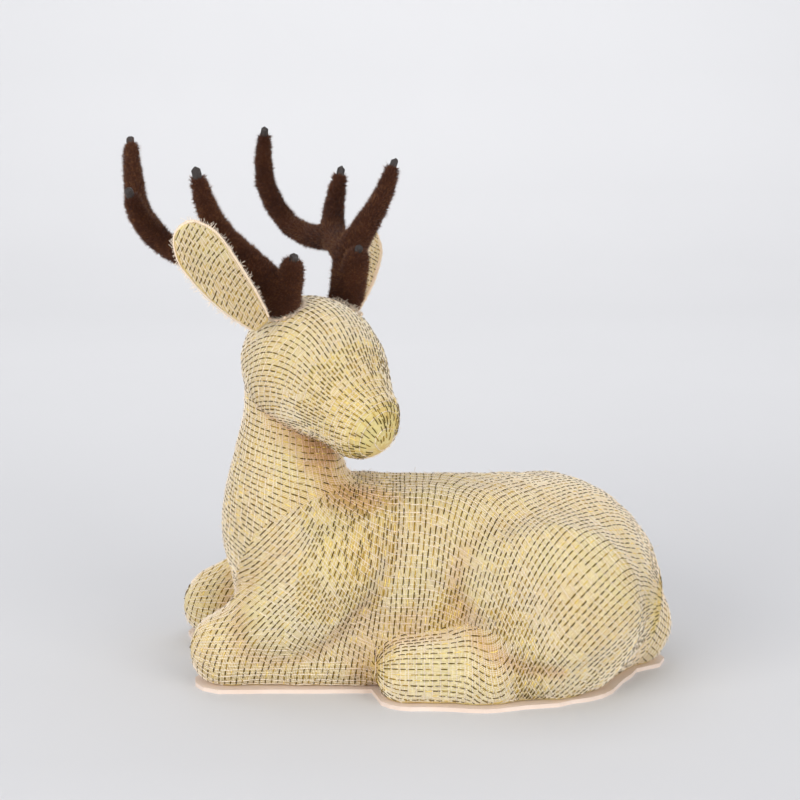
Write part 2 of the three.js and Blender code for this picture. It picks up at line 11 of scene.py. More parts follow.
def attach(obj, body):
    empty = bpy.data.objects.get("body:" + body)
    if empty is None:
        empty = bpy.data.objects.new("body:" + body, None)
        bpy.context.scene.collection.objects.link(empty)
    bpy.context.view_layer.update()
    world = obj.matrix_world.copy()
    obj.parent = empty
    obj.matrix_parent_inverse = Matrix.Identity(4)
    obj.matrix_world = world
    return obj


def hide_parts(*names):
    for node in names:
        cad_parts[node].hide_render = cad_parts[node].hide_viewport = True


MM = 0.001
# Where the figure's own centre line stands in the frame, in millimetres.
CENTRE = np.array([-0.19, -21.65, 0.0])
FLOOR = 3.35  # height of the dressed underside on the base sheet
HEAD_YAW = math.radians(47)
CROWN = np.array([-60.0, -9.0, 271.0])
FORWARD = np.array([math.cos(HEAD_YAW), -math.sin(HEAD_YAW), 0.0])
LEFTWARD = np.array([math.sin(HEAD_YAW), math.cos(HEAD_YAW), 0.0])

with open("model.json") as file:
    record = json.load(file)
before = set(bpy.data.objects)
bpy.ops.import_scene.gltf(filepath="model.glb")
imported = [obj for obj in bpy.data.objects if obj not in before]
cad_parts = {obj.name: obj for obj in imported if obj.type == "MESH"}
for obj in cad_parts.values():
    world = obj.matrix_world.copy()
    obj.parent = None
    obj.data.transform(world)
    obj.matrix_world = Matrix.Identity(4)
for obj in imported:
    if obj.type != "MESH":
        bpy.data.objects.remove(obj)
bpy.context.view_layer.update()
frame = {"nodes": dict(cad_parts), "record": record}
nodes = frame["nodes"]
rng = np.random.default_rng(7)


def place(point):
    """A point on the figure, in millimetres, as metres in the frame."""
    return Vector((np.asarray(point, float) + CENTRE) * MM)


def on_head(side, ahead, out, up):
    """A point ahead, outward and upward of the crown, on the head's left (+1) or right (-1)."""
    return CROWN + FORWARD * ahead + LEFTWARD * side * out + np.array([0, 0, up])


def pick(*pieces):
    bpy.ops.object.select_all(action="DESELECT")
    for piece in pieces:
        piece.select_set(True)
    bpy.context.view_layer.objects.active = pieces[0]


def settle(piece):
    """Puts the piece's place into its mesh."""
    pick(piece)
    bpy.ops.object.transform_apply(location=True, rotation=True, scale=True)
    return piece


def named(piece, name):
    piece.name = name
    piece.data.name = name
    return piece


def added(name):
    return settle(named(bpy.context.active_object, name))


def join(name, pieces):
    pick(*pieces)
    if len(pieces) > 1:
        bpy.ops.object.join()
    return named(bpy.context.active_object, name)


def apply_modifier(piece, kind, **settings):
    pick(piece)
    modifier = piece.modifiers.new(kind.title(), kind)
    for key, value in settings.items():
        setattr(modifier, key, value)
    bpy.ops.object.modifier_apply(modifier=modifier.name)


def copy_of(node, name):
    """A joined-up copy of a CAD node's mesh."""
    piece = nodes[node].copy()
    piece.data = nodes[node].data.copy()
    for key in list(piece.keys()):
        del piece[key]
    piece.parent = None
    bpy.context.scene.collection.objects.link(piece)
    pick(named(piece, name))
    bpy.ops.object.mode_set(mode="EDIT")
    bpy.ops.mesh.select_all(action="SELECT")
    bpy.ops.mesh.remove_doubles(threshold=0.00001)
    bpy.ops.object.mode_set(mode="OBJECT")
    return piece


def remeshed(piece, voxel):
    """The piece made over in even small faces, voxel millimetres across."""
    piece.data.remesh_voxel_size = voxel * MM
    pick(piece)
    bpy.ops.object.voxel_remesh()


def triangles_of(piece):
    piece.data.calc_loop_triangles()
    corners = np.zeros(len(piece.data.loop_triangles) * 3, np.int32)
    piece.data.loop_triangles.foreach_get("vertices", corners)
    return corners.reshape(-1, 3)


def points_of(piece):
    """The piece's points and their normals, in millimetres from the figure's own centre line."""
    co = np.zeros(len(piece.data.vertices) * 3, np.float32)
    no = np.zeros(len(piece.data.vertices) * 3, np.float32)
    piece.data.vertices.foreach_get("co", co)
    piece.data.vertex_normals.foreach_get("vector", no)
    return co.reshape(-1, 3).astype(float) / MM - CENTRE, no.reshape(-1, 3).astype(float)


def move_points(piece, points):
    piece.data.vertices.foreach_set("co", ((points + CENTRE) * MM).astype(np.float32).ravel())
    piece.data.update()


def mesh_piece(name, points, faces):
    """A new piece from points in millimetres and faces that all have the same number of corners."""
    mesh = bpy.data.meshes.new(name)
    points = np.asarray(points, float)
    faces = np.asarray(faces, np.int32)
    corners = faces.shape[1]
    mesh.vertices.add(len(points))
    mesh.vertices.foreach_set("co", ((points + CENTRE) * MM).astype(np.float32).ravel())
    mesh.loops.add(faces.size)
    mesh.loops.foreach_set("vertex_index", faces.ravel())
    mesh.polygons.add(len(faces))
    mesh.polygons.foreach_set("loop_start", np.arange(0, faces.size, corners, dtype=np.int32))
    mesh.polygons.foreach_set("loop_total", np.full(len(faces), corners, np.int32))
    mesh.update(calc_edges=True)
    mesh.validate()
    piece = bpy.data.objects.new(name, mesh)
    bpy.context.scene.collection.objects.link(piece)
    return piece


def store(piece, name, values):
    attribute = piece.data.attributes.new(name, "FLOAT", "POINT")
    attribute.data.foreach_set("value", np.asarray(values, np.float32))


def smooth_shade(piece):
    pick(piece)
    bpy.ops.object.shade_smooth()


# ---------------------------------------------------------------- materials
class Finish:
    """A small bench for wiring one material."""

    def __init__(self, name):
        self.material = bpy.data.materials.new(name)
        self.material.use_nodes = True
        self.tree = self.material.node_tree
        self.shader = self.tree.nodes["Principled BSDF"]
        self.where = self.node("ShaderNodeTexCoord").outputs["Object"]

    def feed(self, socket, value):
        """Sets an input to a value, or joins it to another node's output."""
        if isinstance(value, bpy.types.NodeSocket):
            self.tree.links.new(value, socket)
        elif socket.type == "RGBA":
            socket.default_value = (*value, 1)
        else:
            socket.default_value = value

    def node(self, kind, inputs=None, **settings):
        made = self.tree.nodes.new(kind)
        for key, value in settings.items():
            setattr(made, key, value)
        for key, value in (inputs or {}).items():
            self.feed(made.inputs[key], value)
        return made

    def set(self, **values):
        for key, value in values.items():
            self.feed(self.shader.inputs[key.replace("_", " ")], value)

    def noise(self, scale, detail=3.0, roughness=0.55, stretch=(1, 1, 1)):
        stretched = self.node("ShaderNodeMapping", {"Vector": self.where, "Scale": stretch}).outputs[0]
        inputs = {"Vector": stretched, "Scale": scale, "Detail": detail, "Roughness": roughness}
        return self.node("ShaderNodeTexNoise", inputs).outputs["Fac"]

    def bands(self, scale, direction):
        inputs = {"Vector": self.where, "Scale": scale, "Distortion": 0.6, "Detail": 1.0}
        return self.node("ShaderNodeTexWave", inputs, bands_direction=direction).outputs["Fac"]

    def attribute(self, name):
        return self.node("ShaderNodeAttribute", attribute_name=name).outputs["Fac"]

    def math(self, operation, first, second):
        return self.node("ShaderNodeMath", {0: first, 1: second}, operation=operation).outputs[0]

    def ramp(self, factor, *stops):
        made = self.node("ShaderNodeValToRGB", {"Fac": factor})
        elements = made.color_ramp.elements
        while len(elements) < len(stops):
            elements.new(0.5)
        for element, (position, colour) in zip(elements, stops):
            element.position = position
            element.color = (*colour, 1)
        return made.outputs["Color"]

    def mix(self, factor, first, second):
        return self.node("ShaderNodeMix", {0: factor, 6: first, 7: second}, data_type="RGBA").outputs[2]

    def colour(self, source):
        self.set(Base_Color=source)

    def roughness(self, factor, low, high):
        inputs = {"Value": factor, "To Min": low, "To Max": high}
        self.set(Roughness=self.node("ShaderNodeMapRange", inputs).outputs[0])

    def bump(self, height, distance):
        inputs = {"Height": height, "Distance": distance, "Strength": 1.0}
        self.set(Normal=self.node("ShaderNodeBump", inputs).outputs["Normal"])


def lining_finish():
    f = Finish("cream_lining")
    f.set(Sheen_Weight=0.12, Sheen_Roughness=0.45, Specular_IOR_Level=0.55)
    broad = f.noise(22, 3)
    fine = f.noise(300, 3, 0.7)
    warm = f.ramp(broad, (0.30, (0.76, 0.50, 0.14)), (0.50, (0.82, 0.61, 0.20)), (0.70, (0.86, 0.73, 0.28)))
    flecked = f.mix(f.ramp(fine, (0.45, (0, 0, 0)), (0.75, (0.8, 0.8, 0.8))), warm, (0.97, 0.86, 0.46))
    # Painted crease shade: the lining turns warm orange-brown by how deep the point lies in a fold or crease.
    f.colour(f.mix(f.attribute("crease_shade"), flecked, (0.74, 0.42, 0.13)))
    weave = f.math("ADD", f.bands(430, "X"), f.bands(430, "Z"))
    f.bump(f.math("ADD", weave, f.math("MULTIPLY", fine, 2.5)), 0.00025)
    f.roughness(fine, 0.30, 0.62)
    return f.material


def gold_finish():
    f = Finish("gold_lurex")
    f.set(Metallic=0.2, Specular_IOR_Level=0.05)
    tone_and_glint = f.attribute("tone_and_glint")
    # Dark olive to bright gold: partly the yarn's own tone, partly painted glints on the brightest dashes.
    f.colour(
        f.ramp(
            tone_and_glint,
            (0.0, (0.070, 0.040, 0.003)),
            (0.45, (0.135, 0.082, 0.005)),
            (0.78, (0.46, 0.28, 0.02)),
            (1.0, (0.98, 0.76, 0.26)),
        )
    )
    grain = f.noise(900, 2, stretch=(1, 1, 2.5))
    f.roughness(grain, 0.30, 0.55)
    f.bump(grain, 0.00015)
    return f.material


def yarn_finish(name, pale, deep, folded, roughness=(0.55, 0.85)):
    f = Finish(name)
    f.set(Sheen_Weight=0.15, Sheen_Roughness=0.4)
    twist = f.noise(700, 2)
    broad = f.noise(18, 2)
    open_colour = f.mix(broad, f.ramp(twist, (0.3, deep), (0.7, pale)), pale)
    # Painted crease shade: the yarn takes its 'folded' colour by how deep it lies in a fold or crease.
    f.colour(f.mix(f.attribute("crease_shade"), open_colour, folded))
    f.roughness(twist, *roughness)
    f.bump(twist, 0.0002)
    return f.material


def fur_finish():
    f = Finish("brown_pile")
    f.set(Sheen_Weight=0.05, Sheen_Roughness=0.5, Specular_IOR_Level=0.25)
    tip = f.attribute("tip")
    patch = f.noise(45, 2)
    # Dark roots to golden-brown ends: partly the pile's own lighter tips, partly painted rim light on the
    # hair ends.
    root = f.ramp(patch, (0.3, (0.032, 0.0058, 0.0018)), (0.7, (0.062, 0.0125, 0.0040)))
    end = f.ramp(patch, (0.3, (0.30, 0.100, 0.026)), (0.7, (0.50, 0.23, 0.075)))
    f.colour(f.mix(f.ramp(tip, (0.45, (0.06, 0.06, 0.06)), (1.0, (1, 1, 1))), root, end))
    f.roughness(f.noise(300, 2), 0.55, 0.85)
    f.bump(f.noise(1500, 1), 0.0001)
    return f.material


def moulded_finish(name, colour, shade, roughness=(0.35, 0.5), grain=900, depth=0.00003, metal=0.0):
    f = Finish(name)
    f.set(Metallic=metal)
    patch = f.noise(22, 3)
    f.colour(f.ramp(patch, (0.3, shade), (0.65, colour)))
    fine = f.noise(grain, 2)
    f.roughness(fine, *roughness)
    f.bump(fine, depth)
    return f.material


def foam_finish():
    f = Finish("blush_foam")
    f.set(Sheen_Weight=0.15)
    patch = f.noise(30, 3)
    cells = f.node("ShaderNodeTexVoronoi", {"Scale": 1400, "Vector": f.where}).outputs["Distance"]
    f.colour(f.ramp(patch, (0.3, (0.75, 0.60, 0.49)), (0.7, (0.81, 0.67, 0.57))))
    f.roughness(cells, 0.65, 0.95)
    f.bump(cells, 0.0001)
    return f.material


LINING = lining_finish()
GOLD = gold_finish()
# The third colour of each yarn is its painted crease shade.
YARN = yarn_finish("cream_yarn", (0.98, 0.90, 0.69), (0.88, 0.70, 0.45), (0.82, 0.53, 0.30))
BLUSH_YARN = yarn_finish("blush_yarn", (0.98, 0.87, 0.72), (0.86, 0.66, 0.49), (0.82, 0.52, 0.34))
BINDING = yarn_finish("blush_binding", (0.90, 0.74, 0.55), (0.74, 0.53, 0.36), (0.76, 0.46, 0.24), (0.6, 0.9))
FUR = fur_finish()
FOAM = foam_finish()
CAD_FINISHES = {
    "milky_plastic": moulded_finish("milky_moulding", (0.86, 0.84, 0.78), (0.78, 0.76, 0.69)),
    "white_plastic": moulded_finish("white_moulding", (0.80, 0.79, 0.75), (0.72, 0.71, 0.67)),
    "dark_plastic": moulded_finish("dark_moulding", (0.045, 0.033, 0.028), (0.022, 0.016, 0.014), (0.4, 0.6)),
    "card": moulded_finish("grey_board", (0.52, 0.42, 0.27), (0.42, 0.33, 0.2), (0.75, 0.95), 500, 0.0001),
    "steel": moulded_finish(
        "plated_steel", (0.62, 0.62, 0.64), (0.48, 0.48, 0.5), (0.2, 0.4), 1200, 0.00002, 1.0
    ),
    "cell_jacket": moulded_finish("cell_sleeve", (0.05, 0.09, 0.16), (0.03, 0.06, 0.11), (0.2, 0.35)),
    "laminate": moulded_finish("board_laminate", (0.03, 0.16, 0.07), (0.02, 0.1, 0.04), (0.3, 0.5)),
    "copper_wire": moulded_finish(
        "varnished_wire", (0.6, 0.36, 0.16), (0.45, 0.26, 0.1), (0.2, 0.4), metal=1.0
    ),
    "lamp_lens": moulded_finish("warm_lens", (0.95, 0.74, 0.4), (0.85, 0.6, 0.3), (0.08, 0.2)),
}


def dress(piece, material, body, slot, *replaced):
    piece.data.materials.clear()
    piece.data.materials.append(material)
    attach(piece, body)
    if replaced:
        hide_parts(*replaced)
    return piece


# ---------------------------------------------------------------- the animal's masses
# A mass is a ball, a limb between two points with a radius at each, or a loaf with rounded corners.
def ball(centre, radii, axes=None):
    return ("ball", np.array(centre, float), np.array(radii, float), np.eye(3) if axes is None else axes)


def limb(start, end, start_radius, end_radius):
    return ("limb", np.array(start, float), np.array(end, float), (start_radius, end_radius))


def loaf(centre, half, corner):
    return ("loaf", np.array(centre, float), np.array(half, float), corner)


def foreleg(wrist, y):
    return [
        limb((wrist + 58, y, 62), (wrist, y, 30), 30, 24),
        limb((wrist - 2, y, 24), (-26, y + (2 if y > 0 else -2), 22), 25, 22),
    ]


def hindfoot(side):
    return [
        limb((8, side * 82, 20), (60, side * 82, 24), 25, 27),
        limb((60, side * 82, 24), (106, side * 76, 32), 27, 31),
    ]


# Each group: the fillet between its own masses, the fillet to the groups before it, and its masses.
BODY_GROUPS = {
    "trunk": (
        16,
        0,
        [
            loaf((2, 0, 64), (120, 74, 77), 54),
            ball((110, 0, 58), (84, 88, 86)),
            ball((112, -64, 62), (62, 42, 68)),
            ball((112, 64, 62), (62, 42, 68)),
            limb((-34, -44, 96), (-98, -44, 46), 36, 28),
            limb((-34, 44, 96), (-98, 44, 46), 36, 28),
        ],
    ),
    "foreleg": (12, 8, foreleg(-126, -48) + foreleg(-142, 62)),
    "hindfoot": (14, 16, hindfoot(1) + hindfoot(-1)),
    "tail": (
        10,
        16,
        [limb((162, 0, 78), (180, 0, 30), 24, 23.5), limb((180, 0, 30), (177, 0, 20), 23.5, 23)],
    ),
    "neck": (
        16,
        14,
        [
            limb((-84, 0, 212), (-84, 0, 166), 31, 32.5),
            limb((-84, 0, 166), (-84, 0, 140), 32.5, 41),
            limb((-84, 0, 140), (-83, 0, 108), 41, 47),
            limb((-83, 0, 108), (-76, 0, 50), 47, 45),
        ],
    ),
}
HEAD_AXES = np.array([FORWARD, LEFTWARD, [0, 0, 1]])
SKULL = np.array([-66.0, -8.0, 232.0])
NOSE = np.array([-28.0, -58.0, 199.0])
HEAD_GROUPS = {
    "head": (
        18,
        0,
        [
            ball(SKULL, (56, 46, 50), HEAD_AXES),
            limb((-62, -12, 229), NOSE, 42, 23.5),
            limb((-48, -26, 228), (-29, -52, 206), 34, 24.5),
        ],
    )
}


def distance_to(mass, points):
    """How far each point lies outside one mass."""
    kind, first, second, third = mass
    if kind == "ball":
        local = (points - first) @ third.T
        scaled = np.linalg.norm(local / second, axis=1)
        return scaled * (scaled - 1) / np.maximum(np.linalg.norm(local / second**2, axis=1), 1e-6)
    if kind == "limb":
        along = second - first
        t = np.clip((points - first) @ along / (along @ along), 0, 1)
        radius = third[0] + (third[1] - third[0]) * t
        return np.linalg.norm(points - first - t[:, None] * along, axis=1) - radius
    q = np.abs(points - first) - second + third
    return np.linalg.norm(np.maximum(q, 0), axis=1) + np.minimum(q.max(1), 0) - third


def soft_least(first, second, fillet):
    """The lesser of two distances, rounded off where they are alike."""
    if not fillet:
        return np.minimum(first, second)
    near = np.maximum(fillet - np.abs(first - second), 0) / fillet
    return np.minimum(first, second) - near * near * fillet / 4


def group_distances(groups, points):
    distances = {}
    for name, (fillet, _, masses) in groups.items():
        total = distance_to(masses[0], points)
        for mass in masses[1:]:
            total = soft_least(total, distance_to(mass, points), fillet)
        distances[name] = total
    return distances


def form_distance(groups, points):
    """How far each point lies outside the blended form."""
    distances = group_distances(groups, points)
    total = None
    for name, (_, join_fillet, _) in groups.items():
        total = distances[name] if total is None else soft_least(total, distances[name], join_fillet)
    return total


def form_slope(groups, points, step=0.4):
    """Which way, and how steeply, the distance from the form grows at each point."""
    ways = np.eye(3) * step
    rises = [form_distance(groups, points + way) - form_distance(groups, points - way) for way in ways]
    return np.stack(rises, 1) / (2 * step)


def region_of(groups, points):
    """The name of the group that each point lies nearest to."""
    distances = group_distances(groups, points)
    names = list(groups)
    return np.array(names)[np.argmin([distances[name] for name in names], axis=0)]


def model_mass(mass):
    """The mass as a rough closed form, ready to be joined to its neighbours."""
    kind, first, second, third = mass
    if kind == "ball":
        bpy.ops.mesh.primitive_uv_sphere_add(segments=64, ring_count=32, radius=1, location=place(first))
        piece = bpy.context.active_object
        piece.scale = second * MM
        piece.rotation_euler = (0, 0, math.atan2(third[0][1], third[0][0]))
        return added("mass")
    if kind == "loaf":
        bpy.ops.mesh.primitive_cube_add(size=2, location=place(first))
        bpy.context.active_object.scale = second * MM
        piece = added("mass")
        apply_modifier(piece, "BEVEL", width=third * MM * 0.985, segments=10)
        return piece
    parts = []
    for point, radius in ((first, third[0]), (second, third[1])):
        bpy.ops.mesh.primitive_uv_sphere_add(
            segments=48, ring_count=24, radius=radius * MM, location=place(point)
        )
        parts.append(added("mass"))
    along = Vector(second - first)
    bpy.ops.mesh.primitive_cone_add(
        vertices=48,
        radius1=third[0] * MM,
        radius2=third[1] * MM,
        depth=along.length * MM,
        location=place((first + second) / 2),
        rotation=along.to_track_quat("Z", "Y").to_euler(),
    )
    parts.append(added("mass"))
    return join("mass", parts)


def model_form(name, groups, voxel, covers):
    """Joins the masses, then works the joined skin until it follows their blended form."""
    skin = join(name, [model_mass(mass) for _, _, masses in groups.values() for mass in masses])
    remeshed(skin, voxel)
    for rounds in (6, 3, 1):
        apply_modifier(skin, "SMOOTH", factor=0.5, iterations=rounds)
        points, _ = points_of(skin)
        for _ in range(2):
            slope = form_slope(groups, points)
            distance = form_distance(groups, points)[:, None]
            points -= slope * distance / np.maximum((slope**2).sum(1, keepdims=True), 0.2)
        move_points(skin, points)
    points, normals = points_of(skin)
    x, y, z = points.T
    raised = side_swell(points, normals)[0] if name == "lining_body" else 0
    broad_slack = 0.35 * np.sin(x / 7 + 1.5 * np.sin(z / 13)) * np.sin(z / 9 + y / 11)
    fine_slack = 0.25 * np.sin(x / 3.7 - z / 5.1 + y / 4.3)
    move_points(skin, points + normals * (raised + broad_slack + fine_slack - 0.1)[:, None])
    clear_of(skin, covers)
    smooth_shade(skin)
    return skin


def ease(low, high, x):
    """A smooth step: 0 up to low, 1 from high on."""
    t = np.clip((x - low) / (high - low), 0, 1)
    return t * t * (3 - 2 * t)


def swell_reach(p, centre, slope, half):
    """How far each point lies from the middle of an oval swelling seen from the side: 1 on its rim."""
    dx, dz = p[:, 0] - centre[0], p[:, 2] - centre[1]
    along = dx * math.cos(slope) + dz * math.sin(slope)
    over = dz * math.cos(slope) - dx * math.sin(slope)
    return np.hypot(along / half[0], over / half[1])


# The swellings seen from the side: where the middle is (x, z), its half lengths, and how far it stands out.
THIGH_MIDDLE, THIGH_HALF, THIGH_HEIGHT = (116, 85), (74, 54), 6.4
ARM_MIDDLE, ARM_HALF, ARM_HEIGHT = (-62, 78), (64, 36), 5.4
ARM_SLOPE = 0.735


def side_swell(points, normals):
    """The rounded thigh and upper arm and the drape between them: how high, and how strong the painted shade
    along their creases is.
    """
    x, _, z = points.T
    beside = ease(0.15, 0.75, np.abs(normals[:, 1]))
    thigh = swell_reach(points, THIGH_MIDDLE, 0, THIGH_HALF)
    arm = swell_reach(points, ARM_MIDDLE, ARM_SLOPE, ARM_HALF)
    height = THIGH_HEIGHT * (1 - ease(0.70, 1.05, thigh)) + ARM_HEIGHT * (1 - ease(0.66, 1.06, arm))
    # Painted crease shade along the front of the thigh and round the arm; it does not move the skin.
    thigh_crease = np.exp(-(((thigh - 1.03) / 0.10) ** 2)) * (x < 118) * ease(150, 60, z)
    arm_crease = 0.6 * np.exp(-(((arm - 1.05) / 0.11) ** 2)) * ease(140, 60, z)
    ripple = np.sin((x * 0.93 - z * 0.36) / 6.5 + np.sin(z / 21))
    drape = 0.9 * ripple * np.exp(-(((x - 14) / 24) ** 2))
    return (height + drape * ease(20, 60, z)) * beside, np.maximum(thigh_crease, arm_crease) * beside


def clear_of(skin, covers, most=5.0, least=0.6):
    """Lifts the skin wherever a corner of the moulded shell would show through it."""
    shells = [copy_of(cover, "probe") for cover in covers]
    trees = [BVHTree.FromObject(shell, bpy.context.evaluated_depsgraph_get()) for shell in shells]
    points, normals = points_of(skin)
    lift = np.zeros(len(points))
    for i, (point, normal) in enumerate(zip(points, normals)):
        outside, inward = place(point + normal * most), Vector(-normal)
        for tree in trees:
            _, face_normal, _, gap = tree.ray_cast(outside, inward, (most + least) * MM)
            if gap is not None and face_normal.dot(inward) < 0:
                lift[i] = max(lift[i], most + least - gap / MM)
    move_points(skin, points + normals * np.minimum(lift, 3.5)[:, None])
    for shell in shells:
        bpy.data.objects.remove(shell)


def folded_in(points, normals):
    """How deep in a fold each point lies, from 0 on open cloth to 1; this sets the strength of the painted
    crease shade.
    """
    depth = np.zeros(len(points))
    for reach in (7, 15, 28):
        away = points + normals * reach
        gap = np.minimum(form_distance(BODY_GROUPS, away), form_distance(HEAD_GROUPS, away))
        depth = np.maximum(depth, (reach - gap) / reach)
    return np.clip(depth * 1.35 - 0.12, 0, 1)


# ---------------------------------------------------------------- how the yarns run
def fore_lean(z):
    """How far the gold yarns lean forward at a height on the shoulder."""
    return 0.12 * z + 9 * np.logaddexp(0, (z - 42) / 10)


FACE_START = np.array([-104.0, 22.0, 186.0])
FACE_END = np.array([-22.0, -58.0, 180.0])
FACE_LINE = (FACE_END - FACE_START) / np.linalg.norm(FACE_END - FACE_START)
BROW = np.array([0, 0, 1]) - FACE_LINE[2] * FACE_LINE
BROW = BROW / np.linalg.norm(BROW)
CHEEK = np.cross(BROW, FACE_LINE)


def girth_angle(p, height=42):
    """The angle round the trunk, from under the near side, over the back, to under the far side."""
    angle = np.arctan2(p[:, 2] - height, -p[:, 1])
    return np.where(angle < -np.pi / 2, angle + 2 * np.pi, angle)


def trunk_run(p):
    """The two measures of run_of for the trunk."""
    x, _, z = p.T
    girth = 72 * girth_angle(p)
    front = 1 - ease(-75, 5, x)
    rear = ease(5, 120, x)
    across = x - 0.25 * rear * (x - 60) - front * fore_lean(z)
    across = across - (1 - front - rear) * 0.08 * z - rear * 1.1 * (girth - 63)
    return across, girth + 0.7 * rear * x + 0.6 * front * x


def run_of(region, p):
    """Two measures of each point, in millimetres: across the gold yarns, and along them."""
    x, y, z = p.T
    if region == "head":
        d = p - FACE_START
        turn = np.arctan2(d @ CHEEK, d @ BROW)
        return 104 * turn + 4 * np.sin(d @ FACE_LINE / 16 + 0.5), d @ FACE_LINE - 0.35 * (d @ BROW)
    if region == "neck":
        return z + (0.26 + 0.005 * np.maximum(165 - z, 0)) * (x + 84), 42 * np.arctan2(y, -(x + 84))
    if region == "tail":
        return y * 0.55 + z * 0.83 + 0.3 * x, x + y * 0.8 - z * 0.6
    across, over = trunk_run(p)
    if region == "hindfoot":
        share = ease(45, 100, x)
        start = trunk_run(np.array([[80.0, -100.0, 24.0]]))[0][0]
        around = start - 27 * np.arctan2(z - 24, np.abs(y) - 82)
        return (1 - share) * around + share * across, x + share * 0.6 * z
    if region == "foreleg":
        return across, 30 * np.arctan2(z - 30, np.where(y > 0, 62, -48) - y)
    return across, over


def level_lines(points, normals, triangles, across, along, fold, pitch):
    """Every line of equal 'across' over the skin: rows of place, normal, 'along', fold depth for the painted
    crease shade, and line number.
    """
    value = across / pitch + 1e-5
    corner = value[triangles]
    lowest = np.ceil(corner.min(1)).astype(int)
    highest = np.floor(corner.max(1)).astype(int)
    ends = []
    for step in range(3):
        level = lowest + step
        rows = np.where(level <= highest)[0]
        if not len(rows):
            break
        tri, height = triangles[rows], level[rows]
        found, crossed = [], []
        for a, b in ((0, 1), (1, 2), (2, 0)):
            first, second = np.minimum(tri[:, a], tri[:, b]), np.maximum(tri[:, a], tri[:, b])
            crossed.append((value[first] - height) * (value[second] - height) < 0)
            found.append(np.stack([first, second, height], 1))
        crossed = np.stack(crossed, 1)
        good = crossed.sum(1) == 2
        found = np.stack(found, 1)[good]
        ends.append(found[crossed[good]].reshape(-1, 2, 3))
    if not ends:
        return []
    ends = np.concatenate(ends)
    knots, index = np.unique(ends.reshape(-1, 3), axis=0, return_inverse=True)
    index = index.reshape(-1, 2)
    first, second, height = knots.T
    share = ((height - value[first]) / (value[second] - value[first]))[:, None]
    table = np.hstack([points, normals, along[:, None], fold[:, None]])
    rows = np.hstack([table[first] * (1 - share) + table[second] * share, height[:, None].astype(float)])
    beside = [[] for _ in knots]
    for a, b in index:
        beside[a].append(b)
        beside[b].append(a)
    seen = np.zeros(len(knots), bool)
    lines = []
    starts = [i for i, near in enumerate(beside) if len(near) == 1] + list(range(len(knots)))
    for start in starts:
        if seen[start]:
            continue
        chain = [start]
        seen[start] = True
        while True:
            following = [i for i in beside[chain[-1]] if not seen[i]]
            if not following:
                break
            chain.append(following[0])
            seen[following[0]] = True
        if len(chain) > 3:
            lines.append(rows[chain])
    return lines


def evened(line, step):
    """The line with its wobble taken out and its points set evenly apart."""
    line = line.copy()
    for _ in range(3):
        line[1:-1] = (line[:-2] + 2 * line[1:-1] + line[2:]) / 4
    run = np.concatenate([[0], np.cumsum(np.linalg.norm(np.diff(line[:, :3], axis=0), axis=1))])
    if run[-1] < step * 1.5:
        return None
    marks = np.linspace(0, run[-1], max(int(run[-1] / step), 2) + 1)
    return np.stack([np.interp(marks, run, line[:, i]) for i in range(line.shape[1])], 1)


def unit(v):
    return v / np.maximum(np.linalg.norm(v, axis=-1, keepdims=True), 1e-9)


DASH_CORNERS = 12


def flat_dashes(dashes, width, thickness, lift):
    """Short flat strips, each of three stations, from rows of (dash, station, place and normal)."""
    dashes = np.asarray(dashes)
    centre, normal = dashes[..., :3], unit(dashes[..., 3:6])
    start, middle, end = centre[:, 0], centre[:, 1], centre[:, 2]
    tangent = unit(np.stack([middle - start, end - start, end - middle], 1))
    side = unit(np.cross(tangent, normal))
    rise = np.array([lift - 0.2, lift + 0.12, lift - 0.2])[None, :, None]
    broad = width * rng.uniform(0.75, 1.2, (len(dashes), 1, 1)) * np.array([0.8, 1, 0.8])[None, :, None] / 2
    corners = [
        centre + normal * (rise + up * thickness / 2) + side * across * broad
        for across, up in ((-1, -1), (1, -1), (1, 1), (-1, 1))
    ]
    points = np.stack(corners, 2).reshape(-1, 3)
    faces = [[0, 1, 2, 3], [11, 10, 9, 8]]
    for ring in (0, 4):
        for i in range(4):
            j = (i + 1) % 4
            faces.append([ring + i, ring + 4 + i, ring + 4 + j, ring + j])
    base = np.arange(len(dashes))[:, None, None] * DASH_CORNERS
    return points, (base + np.array(faces)[None]).reshape(-1, 4)


def tube_faces(stations, sides):
    """The side faces of a tube with this many rings, each of this many points."""
    i = np.arange(stations - 1)[:, None] * sides
    k = np.arange(sides)[None]
    after = (k + 1) % sides
    return np.stack([i + k, i + sides + k, i + sides + after, i + after], -1).reshape(-1, 4)


YARN_SIDES = 3


def round_yarns(lines, radius, lift):
    """Thin closed strands along the lines."""
    points, faces, count = [], [], 0
    for line in lines:
        centre, normal = line[:, :3], unit(line[:, 3:6])
        tangent = unit(np.gradient(centre, axis=0))
        side = unit(np.cross(tangent, normal))
        wave = lift + 0.15 * np.sin(np.arange(len(line)) * 1.9 + len(line))
        rings = []
        for k in range(YARN_SIDES):
            angle = 2 * math.pi * k / YARN_SIDES + math.pi / 2
            out = (wave + radius * math.sin(angle))[:, None]
            rings.append(centre + normal * out + side * radius * math.cos(angle))
        ring = np.stack(rings, 1)
        n = len(line)
        points.append(ring.reshape(-1, 3))
        faces.append(count + tube_faces(n, YARN_SIDES))
        count += n * YARN_SIDES
    return np.concatenate(points), np.concatenate(faces)


def lay_yarns(name, lines, radius, lift, material=YARN):
    """One piece of thin strands. The eighth column of each line, if it has one, is its depth in a fold, which
    sets the strand's painted crease shade.
    """
    lines = [line for line in lines if len(line) > 2]
    yarns = mesh_piece(name, *round_yarns(lines, radius, lift))
    fold = np.concatenate([line[:, 7] if line.shape[1] > 7 else np.zeros(len(line)) for line in lines])
    store(yarns, "crease_shade", np.repeat(fold, YARN_SIDES))
    return dress(yarns, material, "figure", "net_cloth")


